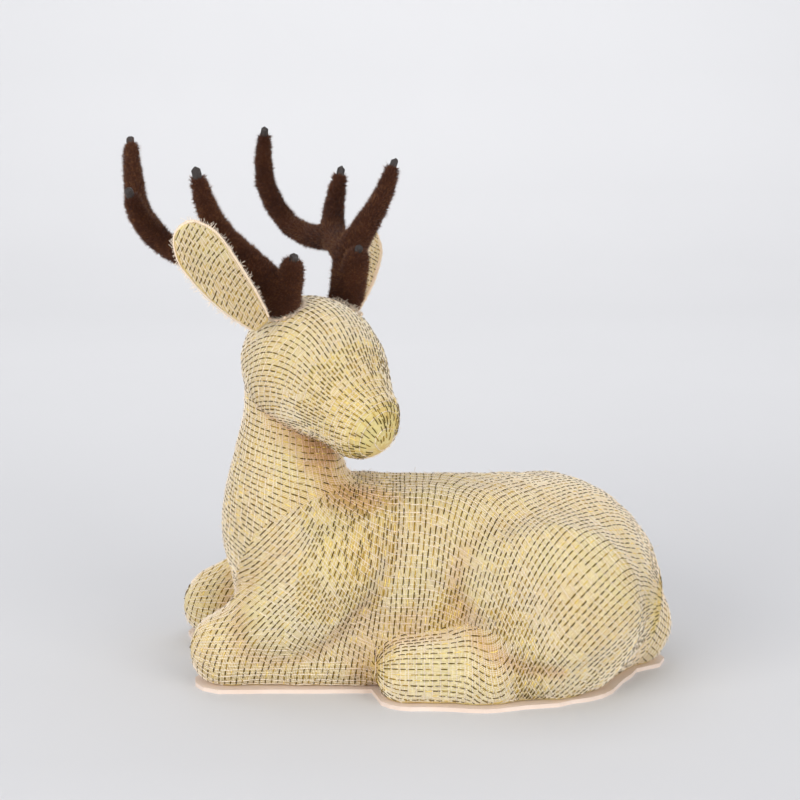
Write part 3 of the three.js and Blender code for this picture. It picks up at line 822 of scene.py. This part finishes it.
# The net's yarns, in millimetres.
GOLD_PITCH = 4.3
CROSS_PITCH = 5.8
GOLD_WIDTH = 0.66
GOLD_THICKNESS = 0.3
GOLD_LIFT = 0.62
GOLD_STEP = 0.8  # between the points of a gold yarn, before it is cut into dashes
CREAM_RADIUS = 0.27
CROSS_RADIUS = 0.32
LONGEST_DASH = 8  # in steps
# Each run of yarns: its start as a share of the gold pitch, and how closely its lines crowd. Gold is first.
YARN_RUNS = ((0, 9), (0, 2.6), (1 / 4, 1.4), (1 / 2, 1.9), (3 / 4, 1.4))


def lit_runs(even, pitch, shift, cut=0.06):
    """The stretches of an evened line that lie between one crossing yarn and the next."""
    phase = (even[:, 6] / pitch + shift) % 1
    lit = (phase > cut) & (phase < 1 - cut)
    edges = np.flatnonzero(np.diff(np.concatenate([[0], lit.astype(int), [0]])))
    runs = []
    for start, stop in edges.reshape(-1, 2):
        for run in np.array_split(even[start:stop], max(1, round((stop - start) / LONGEST_DASH))):
            if len(run) >= 3:
                runs.append(run)
    return runs


def lay_gold(name, runs):
    stations = [run[[0, len(run) // 2, -1], :6] for run in runs]
    gold = mesh_piece(name, *flat_dashes(stations, GOLD_WIDTH, GOLD_THICKNESS, GOLD_LIFT))
    # A random tone for each dash; about one dash in six is pushed to bright gold as a painted glint.
    tone_and_glint = np.clip(rng.beta(1.6, 3.0, len(runs)) + (rng.random(len(runs)) > 0.84) * 0.6, 0, 1)
    store(gold, "tone_and_glint", np.repeat(tone_and_glint, DASH_CORNERS))
    return dress(gold, GOLD, "figure", "net_cloth")


NEIGHBOURS = [np.array((i, j, k)) for i in (-1, 0, 1) for j in (-1, 0, 1) for k in (-1, 0, 1)]


def uncrowded(runs, least=2.3, cell=4.5):
    """Leaves out each dash that would lie closer than the least distance beside one already laid."""
    kept, laid = [], {}
    for i in rng.permutation(len(runs)):
        run = runs[i]
        middle = run[len(run) // 2, :3]
        along = unit(run[-1, :3] - run[0, :3])
        home = np.floor(middle / cell).astype(int)
        near = [other for step in NEIGHBOURS for other in laid.get(tuple(home + step), ())]
        if near:
            gap = np.array(near) - middle
            run_on = gap @ along
            beside = np.linalg.norm(gap - run_on[:, None] * along, axis=1)
            if ((np.abs(run_on) < 3.6) & (beside < least)).any():
                continue
        laid.setdefault(tuple(home), []).append(middle)
        kept.append(run)
    return kept


def net_over(skin, groups, pieces, lowest):
    """Lays the gold dashes and the cream yarns over the skin, region by region."""
    points, normals = points_of(skin)
    fold = folded_in(points, normals)
    # Painted crease shade: fold depth, with the creases round the thigh and arm, darkens the lining and the
    # yarns over it.
    if groups is BODY_GROUPS:
        fold = np.maximum(fold, 0.55 * side_swell(points, normals)[1])
    store(skin, "crease_shade", 0.75 * fold)
    triangles = triangles_of(skin)
    region = region_of(groups, points)
    clear = points[:, 2] > lowest
    x, y, z = points.T
    wobble = 0.7 * np.sin(x / 23 + z / 31) + 0.3 * np.sin(points @ np.array([0.11, 0.17, -0.13]))
    sway = 0.9 * np.sin(x / 17 - z / 12 + y / 19)

    def lines_of(part, measure, other, pitch):
        return level_lines(points, normals, part, measure, other, fold, pitch)

    for piece, (name, low, high) in pieces.items():
        inside = (region == name) & (x > low) & (x <= high)
        part = triangles[inside[triangles[:, 0]] & clear[triangles].all(1)]
        across, along = run_of(name, points)
        runs, fine, cross = [], [], []
        whole = seam_free(part, across, GOLD_PITCH * 4)
        steep = steepness(points, whole, across)
        for number, (offset, steepest) in enumerate(YARN_RUNS):
            shifted = across + wobble + offset * GOLD_PITCH + (offset > 0) * 0.4 * sway
            for line in lines_of(whole[steep < steepest], shifted, along, GOLD_PITCH):
                even = evened(line, 2.6 if number else GOLD_STEP)
                if even is None:
                    continue
                if number == 0:
                    shift = 0.35 * math.sin(2.4 * line[0, 8])
                    runs += [run for run in lit_runs(even, CROSS_PITCH, shift) if rng.random() > 0.04]
                else:
                    fine.append(even)
        whole = seam_free(part, along, CROSS_PITCH * 4)
        whole = whole[steepness(points, whole, along) < 2.2]
        for line in lines_of(whole, along + 0.3 * sway, across, CROSS_PITCH):
            even = evened(line, 2.4)
            if even is not None:
                cross.append(even)
        for line in lines_of(whole, along + 0.5 * CROSS_PITCH + sway, across, CROSS_PITCH):
            even = evened(line, 2.6)
            if even is not None and rng.random() > 0.3:
                fine.append(even)
        lay_gold(f"gold_yarn_{piece}", uncrowded(runs))
        lay_yarns(f"cream_yarn_{piece}", fine, CREAM_RADIUS, 0.25)
        lay_yarns(f"cross_yarn_{piece}", cross, CROSS_RADIUS, 0.5, BLUSH_YARN)


def steepness(points, triangles, field):
    """How fast a measure changes over each triangle, per millimetre: high where its lines crowd together."""
    first, second, third = (points[triangles[:, i]] for i in range(3))
    one, two = second - first, third - first
    rise_one = (field[triangles[:, 1]] - field[triangles[:, 0]])[:, None]
    rise_two = (field[triangles[:, 2]] - field[triangles[:, 0]])[:, None]
    square = np.cross(one, two)
    slope = rise_one * np.cross(two, square) + rise_two * np.cross(square, one)
    return np.linalg.norm(slope / (square**2).sum(1, keepdims=True), axis=1)


def seam_free(triangles, field, most):
    """Leaves out triangles where an angle jumps from one end of its range to the other."""
    corner = field[triangles]
    return triangles[(corner.max(1) - corner.min(1)) < most]


# ---------------------------------------------------------------- dressed figure
STRAY_RADIUS = 0.13
BODY_VOXEL = 2.4
HEAD_VOXEL = 2.2
BODY_STRAYS = 3600
HEAD_STRAYS = 700


def stray_fibres(name, skin, count, lowest):
    """Short loose fibres that lift off the net all over."""
    points, normals = points_of(skin)
    chosen = rng.choice(np.flatnonzero(points[:, 2] > lowest), count)
    lines = []
    for start, up in zip(points[chosen], normals[chosen]):
        heading = unit(rng.normal(0, 1, 3) + 0.1 * up)
        heading = unit(heading - (heading @ up) * up * 0.85)
        t = np.linspace(0, 1, 5)[:, None]
        curl = rng.normal(0, 1.3, 3)
        run = heading * t * rng.uniform(1.8, 5.5) + curl * t * (1 - t)
        path = start + up * 0.7 + run + up * t * rng.uniform(0.1, 1.2)
        lines.append(np.hstack([path, np.repeat(up[None], 5, 0)]))
    return lay_yarns(name, lines, STRAY_RADIUS, 0.0, BLUSH_YARN)


def open_underside(skin):
    """Cuts the wells for the battery tray and the switch into the lining."""
    for low, high in (
        ((-300, -300, -60), (300, 300, FLOOR)),
        ((0, -28, -5), (74, 28, 30)),
        ((86, -24, -5), (110, 24, 22)),
    ):
        bpy.ops.mesh.primitive_cube_add(size=1, location=place((np.array(low) + high) / 2))
        bpy.context.active_object.scale = (np.array(high) - low) * MM
        cutter = added("cutter")
        apply_modifier(skin, "BOOLEAN", operation="DIFFERENCE", solver="EXACT", object=cutter)
        bpy.data.objects.remove(cutter)


def make_figure():
    body = model_form("lining_body", BODY_GROUPS, BODY_VOXEL, ["shell_body_left", "shell_body_right"])
    head = model_form("lining_head", HEAD_GROUPS, HEAD_VOXEL, ["shell_head_left", "shell_head_right"])
    far = 400
    net_over(
        body,
        BODY_GROUPS,
        {
            "neck": ("neck", -far, far),
            "forelegs": ("foreleg", -far, far),
            "shoulders": ("trunk", -far, -5),
            "loin": ("trunk", -5, 75),
            "haunches": ("trunk", 75, far),
            "hind_feet": ("hindfoot", -far, far),
            "tail": ("tail", -far, far),
        },
        FLOOR + 1.2,
    )
    net_over(head, HEAD_GROUPS, {"head": ("head", -far, far)}, 0)
    stray_fibres("loose_fibres_body", body, BODY_STRAYS, FLOOR + 3)
    stray_fibres("loose_fibres_head", head, HEAD_STRAYS, 0)
    open_underside(body)
    legs = ["net_foreleg_left", "net_foreleg_right", "net_hindleg_left", "net_hindleg_right"]
    dress(body, LINING, "figure", "net_cloth", "net_torso", "net_neck", "net_tail", *legs)
    dress(head, LINING, "figure", "net_cloth", "net_head")


# ---------------------------------------------------------------- antlers
TUFTS = np.array([[1.9, 0.7, 1.3], [-0.9, 2.1, 1.1], [1.2, -1.4, 1.8]])  # the three ways that the pile clumps
HAIRS = 62000
HAIR_RADIUS = 0.32
HAIR_REACH = 3.7
HAIR_CORNERS = (0, 2.094, 4.189)  # angles round a hair's root, in radians
CAP_SWELL = 0.9  # how far a bare tip stands out past its core


def make_antler(name, side):
    """The fur's skin, its hairs and the bare dark tips of the tines."""
    pile_base = copy_of(f"antler_fur_{name}", f"antler_pile_base_{name}")
    remeshed(pile_base, 1.3)
    apply_modifier(pile_base, "SMOOTH", factor=0.5, iterations=18)
    points, normals = points_of(pile_base)
    move_points(pile_base, points - normals * 0.7)
    smooth_shade(pile_base)
    points, normals = points_of(pile_base)
    store(pile_base, "tip", np.full(len(points), 0.05))
    dress(pile_base, FUR, f"antler_{name}", "fur", f"antler_fur_{name}")

    triangles = triangles_of(pile_base)
    corner = points[triangles]
    area = np.linalg.norm(np.cross(corner[:, 1] - corner[:, 0], corner[:, 2] - corner[:, 0]), axis=1) / 2
    chosen = rng.choice(len(triangles), HAIRS, p=area / area.sum())
    weights = rng.dirichlet((1, 1, 1), HAIRS)
    root = (points[triangles[chosen]] * weights[..., None]).sum(1)
    up = unit((normals[triangles[chosen]] * weights[..., None]).sum(1))
    away = unit(root - on_head(side, 0, 31, 0))
    tuft = np.stack([np.sin(root @ k + np.sin(root @ k[::-1])) for k in TUFTS], 1)
    lean = unit(up + 0.3 * away + 0.12 * tuft + rng.normal(0, 0.38, root.shape))
    long = rng.random((HAIRS, 1)) > 0.7
    reach = HAIR_REACH + 0.4 * np.sin(root @ TUFTS[0] + 1) * np.sin(root @ TUFTS[1])
    reach = reach + 0.3 * np.sin(root @ TUFTS[2] / 3)
    length = reach[:, None] * rng.uniform(0.7, 1.0, (HAIRS, 1)) + long * rng.uniform(0.6, 1.8, (HAIRS, 1))
    outward = unit(np.cross(lean, rng.normal(size=root.shape)))
    third = np.cross(lean, outward)
    corners = [root + HAIR_RADIUS * (math.cos(a) * outward + math.sin(a) * third) for a in HAIR_CORNERS]
    tips = root + lean * length
    hair_points = np.stack([*corners, tips], 1).reshape(-1, 3)
    base = np.arange(HAIRS)[:, None, None] * 4
    faces = (base + np.array([[0, 1, 3], [1, 2, 3], [2, 0, 3]])[None]).reshape(-1, 3)
    pile = mesh_piece(f"antler_pile_{name}", hair_points, faces)
    # Long hairs get brighter ends: partly the pile's own lighter tips, partly painted rim light where they
    # stand out along the outline.
    shade = np.where(long[:, 0], rng.uniform(0.7, 1.0, HAIRS), rng.uniform(0.2, 0.7, HAIRS))
    store(pile, "tip", np.stack([np.zeros(HAIRS)] * 3 + [shade], 1).ravel())
    dress(pile, FUR, f"antler_{name}", "fur")

    fur_skin = BVHTree.FromObject(pile_base, bpy.context.evaluated_depsgraph_get())
    caps = copy_of(f"antler_core_{name}", f"antler_tips_{name}")
    remeshed(caps, 0.7)
    apply_modifier(caps, "SMOOTH", factor=0.5, iterations=3)
    points, normals = points_of(caps)
    swell = np.zeros(len(points))
    for i, point in enumerate(points):
        nearest, outward_there, _, gap = fur_skin.find_nearest(place(point))
        if (place(point) - nearest).dot(outward_there) > 0:
            swell[i] = CAP_SWELL * min(1.0, gap / MM / 1.2)
    move_points(caps, points + normals * (swell - 0.3)[:, None])
    smooth_shade(caps)
    dress(caps, CAD_FINISHES["dark_plastic"], f"antler_{name}", "dark_plastic")


# ---------------------------------------------------------------- ears
EAR_LENGTH = 109.0
EAR_WIDTH = 16.5
EAR_BOW = 2.0
EAR_WIDEST = 0.78
EAR_CUP = 7.0
EAR_THICKNESS = 1.9  # half the leaf's thickness at its middle
EAR_CROSS_PITCH = 2.6
EAR_DASH_PITCH = 5.2
BAND_SIDES = 12
BAND_HALF = 1.15
EAR_ENDS = 420  # loose yarn ends round each ear, and round each antler's root
# Each ear: the side of the head, its root and its tip as places on the head, and the way it faces.
EARS = {
    "right": (-1, (2, 54, -3), (-1, 120, 72), (0.05, -1, 0.25)),
    "left": (1, (-14, 43, -9), (-58, 112, 60), (0.97, -0.1, 0.1)),
}


def ear_frame(side, root, tip, face):
    """Where an ear starts, and the ways along it, across it and out of its face."""
    start = on_head(side, *root)
    along = unit(on_head(side, *tip) - start)
    across = unit(np.cross(along, face))
    return start, along, across, np.cross(across, along)


def ear_half_width(u):
    """A narrow root, a swelling blade and a blunt round tip."""
    u = np.asarray(u, float)
    blade = np.sin(np.pi * (0.06 + 0.44 * np.clip(u, 0, 1) / EAR_WIDEST)) ** 0.6
    tip = np.sqrt(np.maximum(1 - ((u - EAR_WIDEST) / 0.24) ** 2, 0))
    return EAR_WIDTH * np.where(u < EAR_WIDEST, blade, tip)


def ear_point(layout, u, v, depth):
    """The place a share u along the ear, v across it and depth out of its face."""
    start, along, across, facing = layout
    u, v, depth = (np.asarray(a, float)[..., None] for a in (u, v, depth))
    return (
        start
        + along * (EAR_LENGTH * u - 10 * u * u)
        + across * (v - EAR_BOW * np.sin(np.pi * u))
        + facing * (depth + EAR_CUP * (v / EAR_WIDTH) ** 2 - 14 * (u - 0.4) ** 2)
    )


def ear_line(layout, u, v, face):
    """A yarn's path over one face of the ear."""
    half = ear_half_width(u)
    good = (u > 0.015) & (u < 1.01) & (np.abs(v) < half * 0.97)
    if good.sum() < 6:
        return None
    u, v = u[good], v[good]
    depth = face * EAR_THICKNESS * np.sqrt(np.maximum(1 - (v / ear_half_width(u)) ** 2, 0))
    spots = ear_point(layout, u, v, depth)
    tilt = (-2 * EAR_CUP * v / EAR_WIDTH**2 * face)[:, None]
    upward = np.repeat((face * layout[3])[None], len(u), 0) + layout[2] * tilt
    return np.hstack([spots, unit(upward), (u * EAR_LENGTH * 0.43 + v * 0.91)[:, None]])


def make_ear(name):
    """One ear: its lined leaf, its net, the bound edge with stitches, and the ends that stand out of it."""
    layout = ear_frame(*EARS[name])
    facing = layout[3]
    steps, around = 60, 40
    u = np.linspace(0, 1.018, steps)[:, None] * np.ones(around)
    angle = np.linspace(0, 2 * math.pi, around, endpoint=False)[None] * np.ones((steps, 1))
    half = ear_half_width(u)
    points = ear_point(layout, u, half * np.cos(angle), -EAR_THICKNESS * np.sin(angle)).reshape(-1, 3)
    i = np.arange(steps - 1)[:, None] * around
    k = np.arange(around)[None]
    after = (k + 1) % around
    quads = np.stack([i + k, i + after, i + around + after, i + around + k], -1).reshape(-1, 4)
    leaf = mesh_piece(f"ear_lining_{name}", points, quads)
    close_ends(leaf)
    smooth_shade(leaf)
    # Painted shade: the ear's lining darkens toward its root, over its first 30 millimetres.
    from_root = np.linalg.norm(points_of(leaf)[0] - layout[0], axis=1)
    store(leaf, "crease_shade", 0.25 * np.clip(1 - (from_root / 30), 0, 1))
    dress(leaf, LINING, "figure", "net_cloth", f"ear_net_{name}")

    runs, yarns, cross = [], [], []
    v = np.linspace(-EAR_WIDTH, EAR_WIDTH, 70)
    for face in (1, -1):
        for number, row in enumerate(np.arange(-0.1, 1.15, 0.0143)):
            line = ear_line(layout, row + 0.5 * v / EAR_LENGTH + 0.004 * np.sin(v / 3 + row * 40), v, face)
            even = None if line is None else evened(line, 2.2 if number % 3 else GOLD_STEP)
            if even is None:
                continue
            if number % 3 == 0:
                runs += [run for run in lit_runs(even, EAR_DASH_PITCH, 0.0) if rng.random() > 0.06]
                even = even[::3]
            yarns.append(even)
        for column in np.arange(-EAR_WIDTH - 20, EAR_WIDTH + 20, EAR_CROSS_PITCH):
            u_run = np.linspace(0.01, 1.01, 80)
            line = ear_line(layout, u_run, column + 9 * u_run + 0.5 * np.sin(u_run * 20 + column), face)
            even = None if line is None else evened(line, 2.4)
            if even is not None:
                cross.append(even)
    lay_gold(f"ear_gold_yarn_{name}", runs)
    lay_yarns(f"ear_cream_yarn_{name}", yarns, 0.25, 0.3)
    lay_yarns(f"ear_cross_yarn_{name}", cross, CROSS_RADIUS, 0.5, BLUSH_YARN)

    # The bound edge: a folded band up one side, over the tip and down the other, thinner on the second side.
    up_side = np.linspace(0.03, 0.97, 60)
    round_tip = np.linspace(0.1, math.pi - 0.1, 14)
    edge_u = np.concatenate([up_side, 0.97 + 0.05 * np.sin(round_tip), np.linspace(0.97, 0.03, 60)])
    sign = np.concatenate([np.ones(60), np.cos(round_tip), -np.ones(60)])
    half = ear_half_width(np.minimum(edge_u, 0.97))
    edge = ear_point(layout, edge_u, sign * (half + 0.7), np.zeros(len(edge_u)))
    for _ in range(3):
        edge[1:-1] = (edge[:-2] + 2 * edge[1:-1] + edge[2:]) / 4
    thick = 0.75 + 0.75 * ease(-0.9, 0.8, sign)
    tangent = unit(np.gradient(edge, axis=0))
    side = unit(np.cross(tangent, facing))
    ring = []
    for a in np.linspace(0, 2 * math.pi, BAND_SIDES, endpoint=False):
        ripple = 1 + 0.14 * np.sin(np.arange(len(edge)) * 1.3 + 2 * math.sin(a))
        offset = facing * BAND_HALF * math.sin(a) + side * 0.6 * math.cos(a)
        ring.append(edge + offset * (thick * ripple)[:, None])
    rings = np.stack(ring, 1).reshape(-1, 3)
    band = mesh_piece(f"ear_edge_band_{name}", rings, tube_faces(len(edge), BAND_SIDES))
    apply_modifier(band, "SUBSURF", levels=1, render_levels=1)
    close_ends(band)
    smooth_shade(band)
    store(band, "crease_shade", np.zeros(len(band.data.vertices)))
    dress(band, BINDING, "figure", "trim_cloth", f"ear_binding_{name}")

    stitches = []
    for j in range(3, 72):
        middle = edge[j] + facing * BAND_HALF * thick[j]
        across = unit(side[j] + tangent[j] * 0.5) * 1.1 * thick[j]
        low = facing * 0.5
        path = np.stack([middle - across - low, middle + facing * 0.05, middle + across - low])
        stitches.append(np.hstack([path, np.repeat(facing[None], 3, 0)]))
    lay_yarns(f"ear_stitches_{name}", stitches, 0.2, 0.1, BLUSH_YARN)
    inward = -side * np.sign((side * (edge - layout[0])).sum(1, keepdims=True))
    loose_ends(f"ear_loose_ends_{name}", edge, -inward, facing, EAR_ENDS)


def close_ends(piece):
    """Caps the open ends of a tube and turns its faces outward."""
    pick(piece)
    bpy.ops.object.mode_set(mode="EDIT")
    bpy.ops.mesh.select_all(action="SELECT")
    bpy.ops.mesh.fill_holes(sides=0)
    bpy.ops.mesh.normals_make_consistent(inside=False)
    bpy.ops.object.mode_set(mode="OBJECT")


def loose_ends(name, edge, outward, facing, count):
    """Cut yarn ends that stand out along an edge."""
    at = rng.integers(2, len(edge) - 2, count)
    start = edge[at] + rng.normal(0, 0.4, (count, 3))
    heading = unit(outward[at] + rng.normal(0, 0.55, (count, 3)))
    lines = []
    for i in range(count):
        t = np.linspace(0, 1, 4)[:, None]
        path = start[i] + heading[i] * t * rng.uniform(1.2, 3.6) + rng.normal(0, 0.8, 3) * t * t
        lines.append(np.hstack([path, np.repeat(np.asarray(facing)[None], 4, 0)]))
    return lay_yarns(name, lines, 0.14, 0.0, BLUSH_YARN)


def make_lip(name, side):
    """The turned-up edge of net round an antler's root, with cut ends standing out of it."""
    core = copy_of(f"net_lip_{name}", "probe")
    centre = points_of(core)[0].mean(0)
    bpy.data.objects.remove(core)
    up = unit(on_head(side, -0.1, 0.25, 1) - CROWN)
    bpy.ops.mesh.primitive_torus_add(
        major_segments=96,
        minor_segments=14,
        major_radius=12.8 * MM,
        minor_radius=1.1 * MM,
        location=place(centre - up * 0.6),
        rotation=Vector(up).to_track_quat("Z", "Y").to_euler(),
    )
    lip = added(f"net_edge_roll_{name}")
    points, normals = points_of(lip)
    first = unit(np.cross(up, [1, 0, 0]))
    second = np.cross(up, first)
    turn = np.arctan2((points - centre) @ second, (points - centre) @ first)
    ruffle = 0.45 * np.sin(turn * 11 + side) + 0.35 * np.sin(turn * 23) + 0.25 * np.sin(turn * 37 + 1)
    points += normals * ruffle[:, None] + up * (0.8 * np.sin(turn * 5 + 2 * side))[:, None]
    on_skin = form_distance(HEAD_GROUPS, points)
    slope = unit(form_slope(HEAD_GROUPS, points))
    points -= slope * np.clip(on_skin - 0.6, -1.5, 4)[:, None] * 0.75
    move_points(lip, points)
    smooth_shade(lip)
    # Painted shade in the ruffle's dips: the roll darkens where it folds inward.
    store(lip, "crease_shade", np.clip(0.25 - ruffle * 0.3, 0, 1))
    dress(lip, BINDING, "figure", "net_cloth", f"net_lip_{name}")
    turn = np.linspace(0, 2 * math.pi, 120)
    spoke = np.cos(turn)[:, None] * first + np.sin(turn)[:, None] * second
    ring = centre + spoke * 13.8
    ring -= unit(form_slope(HEAD_GROUPS, ring)) * (form_distance(HEAD_GROUPS, ring) - 1.5)[:, None]
    loose_ends(f"net_edge_ends_{name}", ring, unit(spoke * 0.9 + up), up, EAR_ENDS)


def make_base():
    sheet = copy_of("base_sheet", "foam_base")
    apply_modifier(sheet, "BEVEL", width=0.0007, segments=2, limit_method="ANGLE")
    dress(sheet, FOAM, "figure", "foam_sheet", "base_sheet")


def finish_cad_nodes():
    """Gives each CAD piece the finish of its slot. Cloth, fur and foam have pieces of their own."""
    slots = {row["node"]: row["material_slot"] for row in frame["record"]["subparts"]}
    for name, node in nodes.items():
        finish = CAD_FINISHES.get(slots[name])
        if finish:
            node.data.materials.clear()
            node.data.materials.append(finish)


# ---------------------------------------------------------------- studio
CAMERA_DISTANCE = 1.5
VIEW_WIDTH = 0.744 * 0.8  # how much of the scene the view takes in at the figure


def make_studio():
    bpy.ops.mesh.primitive_plane_add(size=1, location=(0, 0, 0))
    floor = bpy.context.active_object
    floor.name = "studio_floor"
    rows = [(-3.0, 0.0), (1.6, 0.0), (1.9, 0.03), (2.15, 0.13), (2.35, 0.33), (2.45, 0.6), (2.5, 3.2)]
    points = [(x, y, z) for y, z in rows for x in (-4.0, 4.0)]
    faces = [(2 * i, 2 * i + 1, 2 * i + 3, 2 * i + 2) for i in range(len(rows) - 1)]
    mesh = bpy.data.meshes.new("studio_floor")
    mesh.from_pydata(points, [], faces)
    floor.data = mesh
    smooth_shade(floor)
    finish = Finish("studio_grey")
    finish.set(Roughness=0.9)
    grain = finish.noise(3, 2)
    finish.colour(finish.ramp(grain, (0.0, (0.65, 0.65, 0.655)), (1.0, (0.67, 0.67, 0.675))))
    mesh.materials.append(finish.material)

    def softbox(name, stand, aim, size, power):
        light = bpy.data.lights.new(name, "AREA")
        light.shape = "RECTANGLE"
        light.size, light.size_y = size
        light.energy = power
        lamp = bpy.data.objects.new(name, light)
        lamp.location = stand
        lamp.rotation_euler = (Vector(aim) - Vector(stand)).to_track_quat("-Z", "Y").to_euler()
        bpy.context.scene.collection.objects.link(lamp)

    softbox("key_left", (-1.5, -1.7, 1.0), (0, 0, 0.15), (1.6, 1.6), 34)
    softbox("fill_right", (1.5, -1.8, 0.6), (0, 0, 0.15), (1.5, 1.5), 29)
    softbox("top", (0, 0.3, 2.2), (0, 0, 0.1), (2.4, 2.4), 9)
    softbox("back_wash", (0, 1.0, 2.0), (0, 2.4, 0.9), (3.0, 1.0), 25)
    world = bpy.data.worlds.new("studio")
    bpy.context.scene.world = world
    world.use_nodes = True
    world.node_tree.nodes["Background"].inputs["Color"].default_value = (0.93, 0.94, 1.0, 1)
    world.node_tree.nodes["Background"].inputs["Strength"].default_value = 0.57

    camera = bpy.data.objects.new("camera", bpy.data.cameras.new("camera"))
    camera.data.sensor_width = 36
    camera.data.lens = camera.data.sensor_width * CAMERA_DISTANCE / VIEW_WIDTH
    tilt = math.radians(12)
    camera.location = place((0, 0, 204)) + Vector((0, -math.cos(tilt), math.sin(tilt))) * CAMERA_DISTANCE
    camera.rotation_euler = (math.pi / 2 - tilt, 0, 0)
    bpy.context.scene.collection.objects.link(camera)
    bpy.context.scene.camera = camera
    bpy.context.scene.view_settings.view_transform = "Standard"


make_studio()
finish_cad_nodes()
make_figure()
for ear_name in EARS:
    make_ear(ear_name)
for antler_name, antler_side in (("left", 1), ("right", -1)):
    make_antler(antler_name, antler_side)
    make_lip(antler_name, antler_side)
make_base()
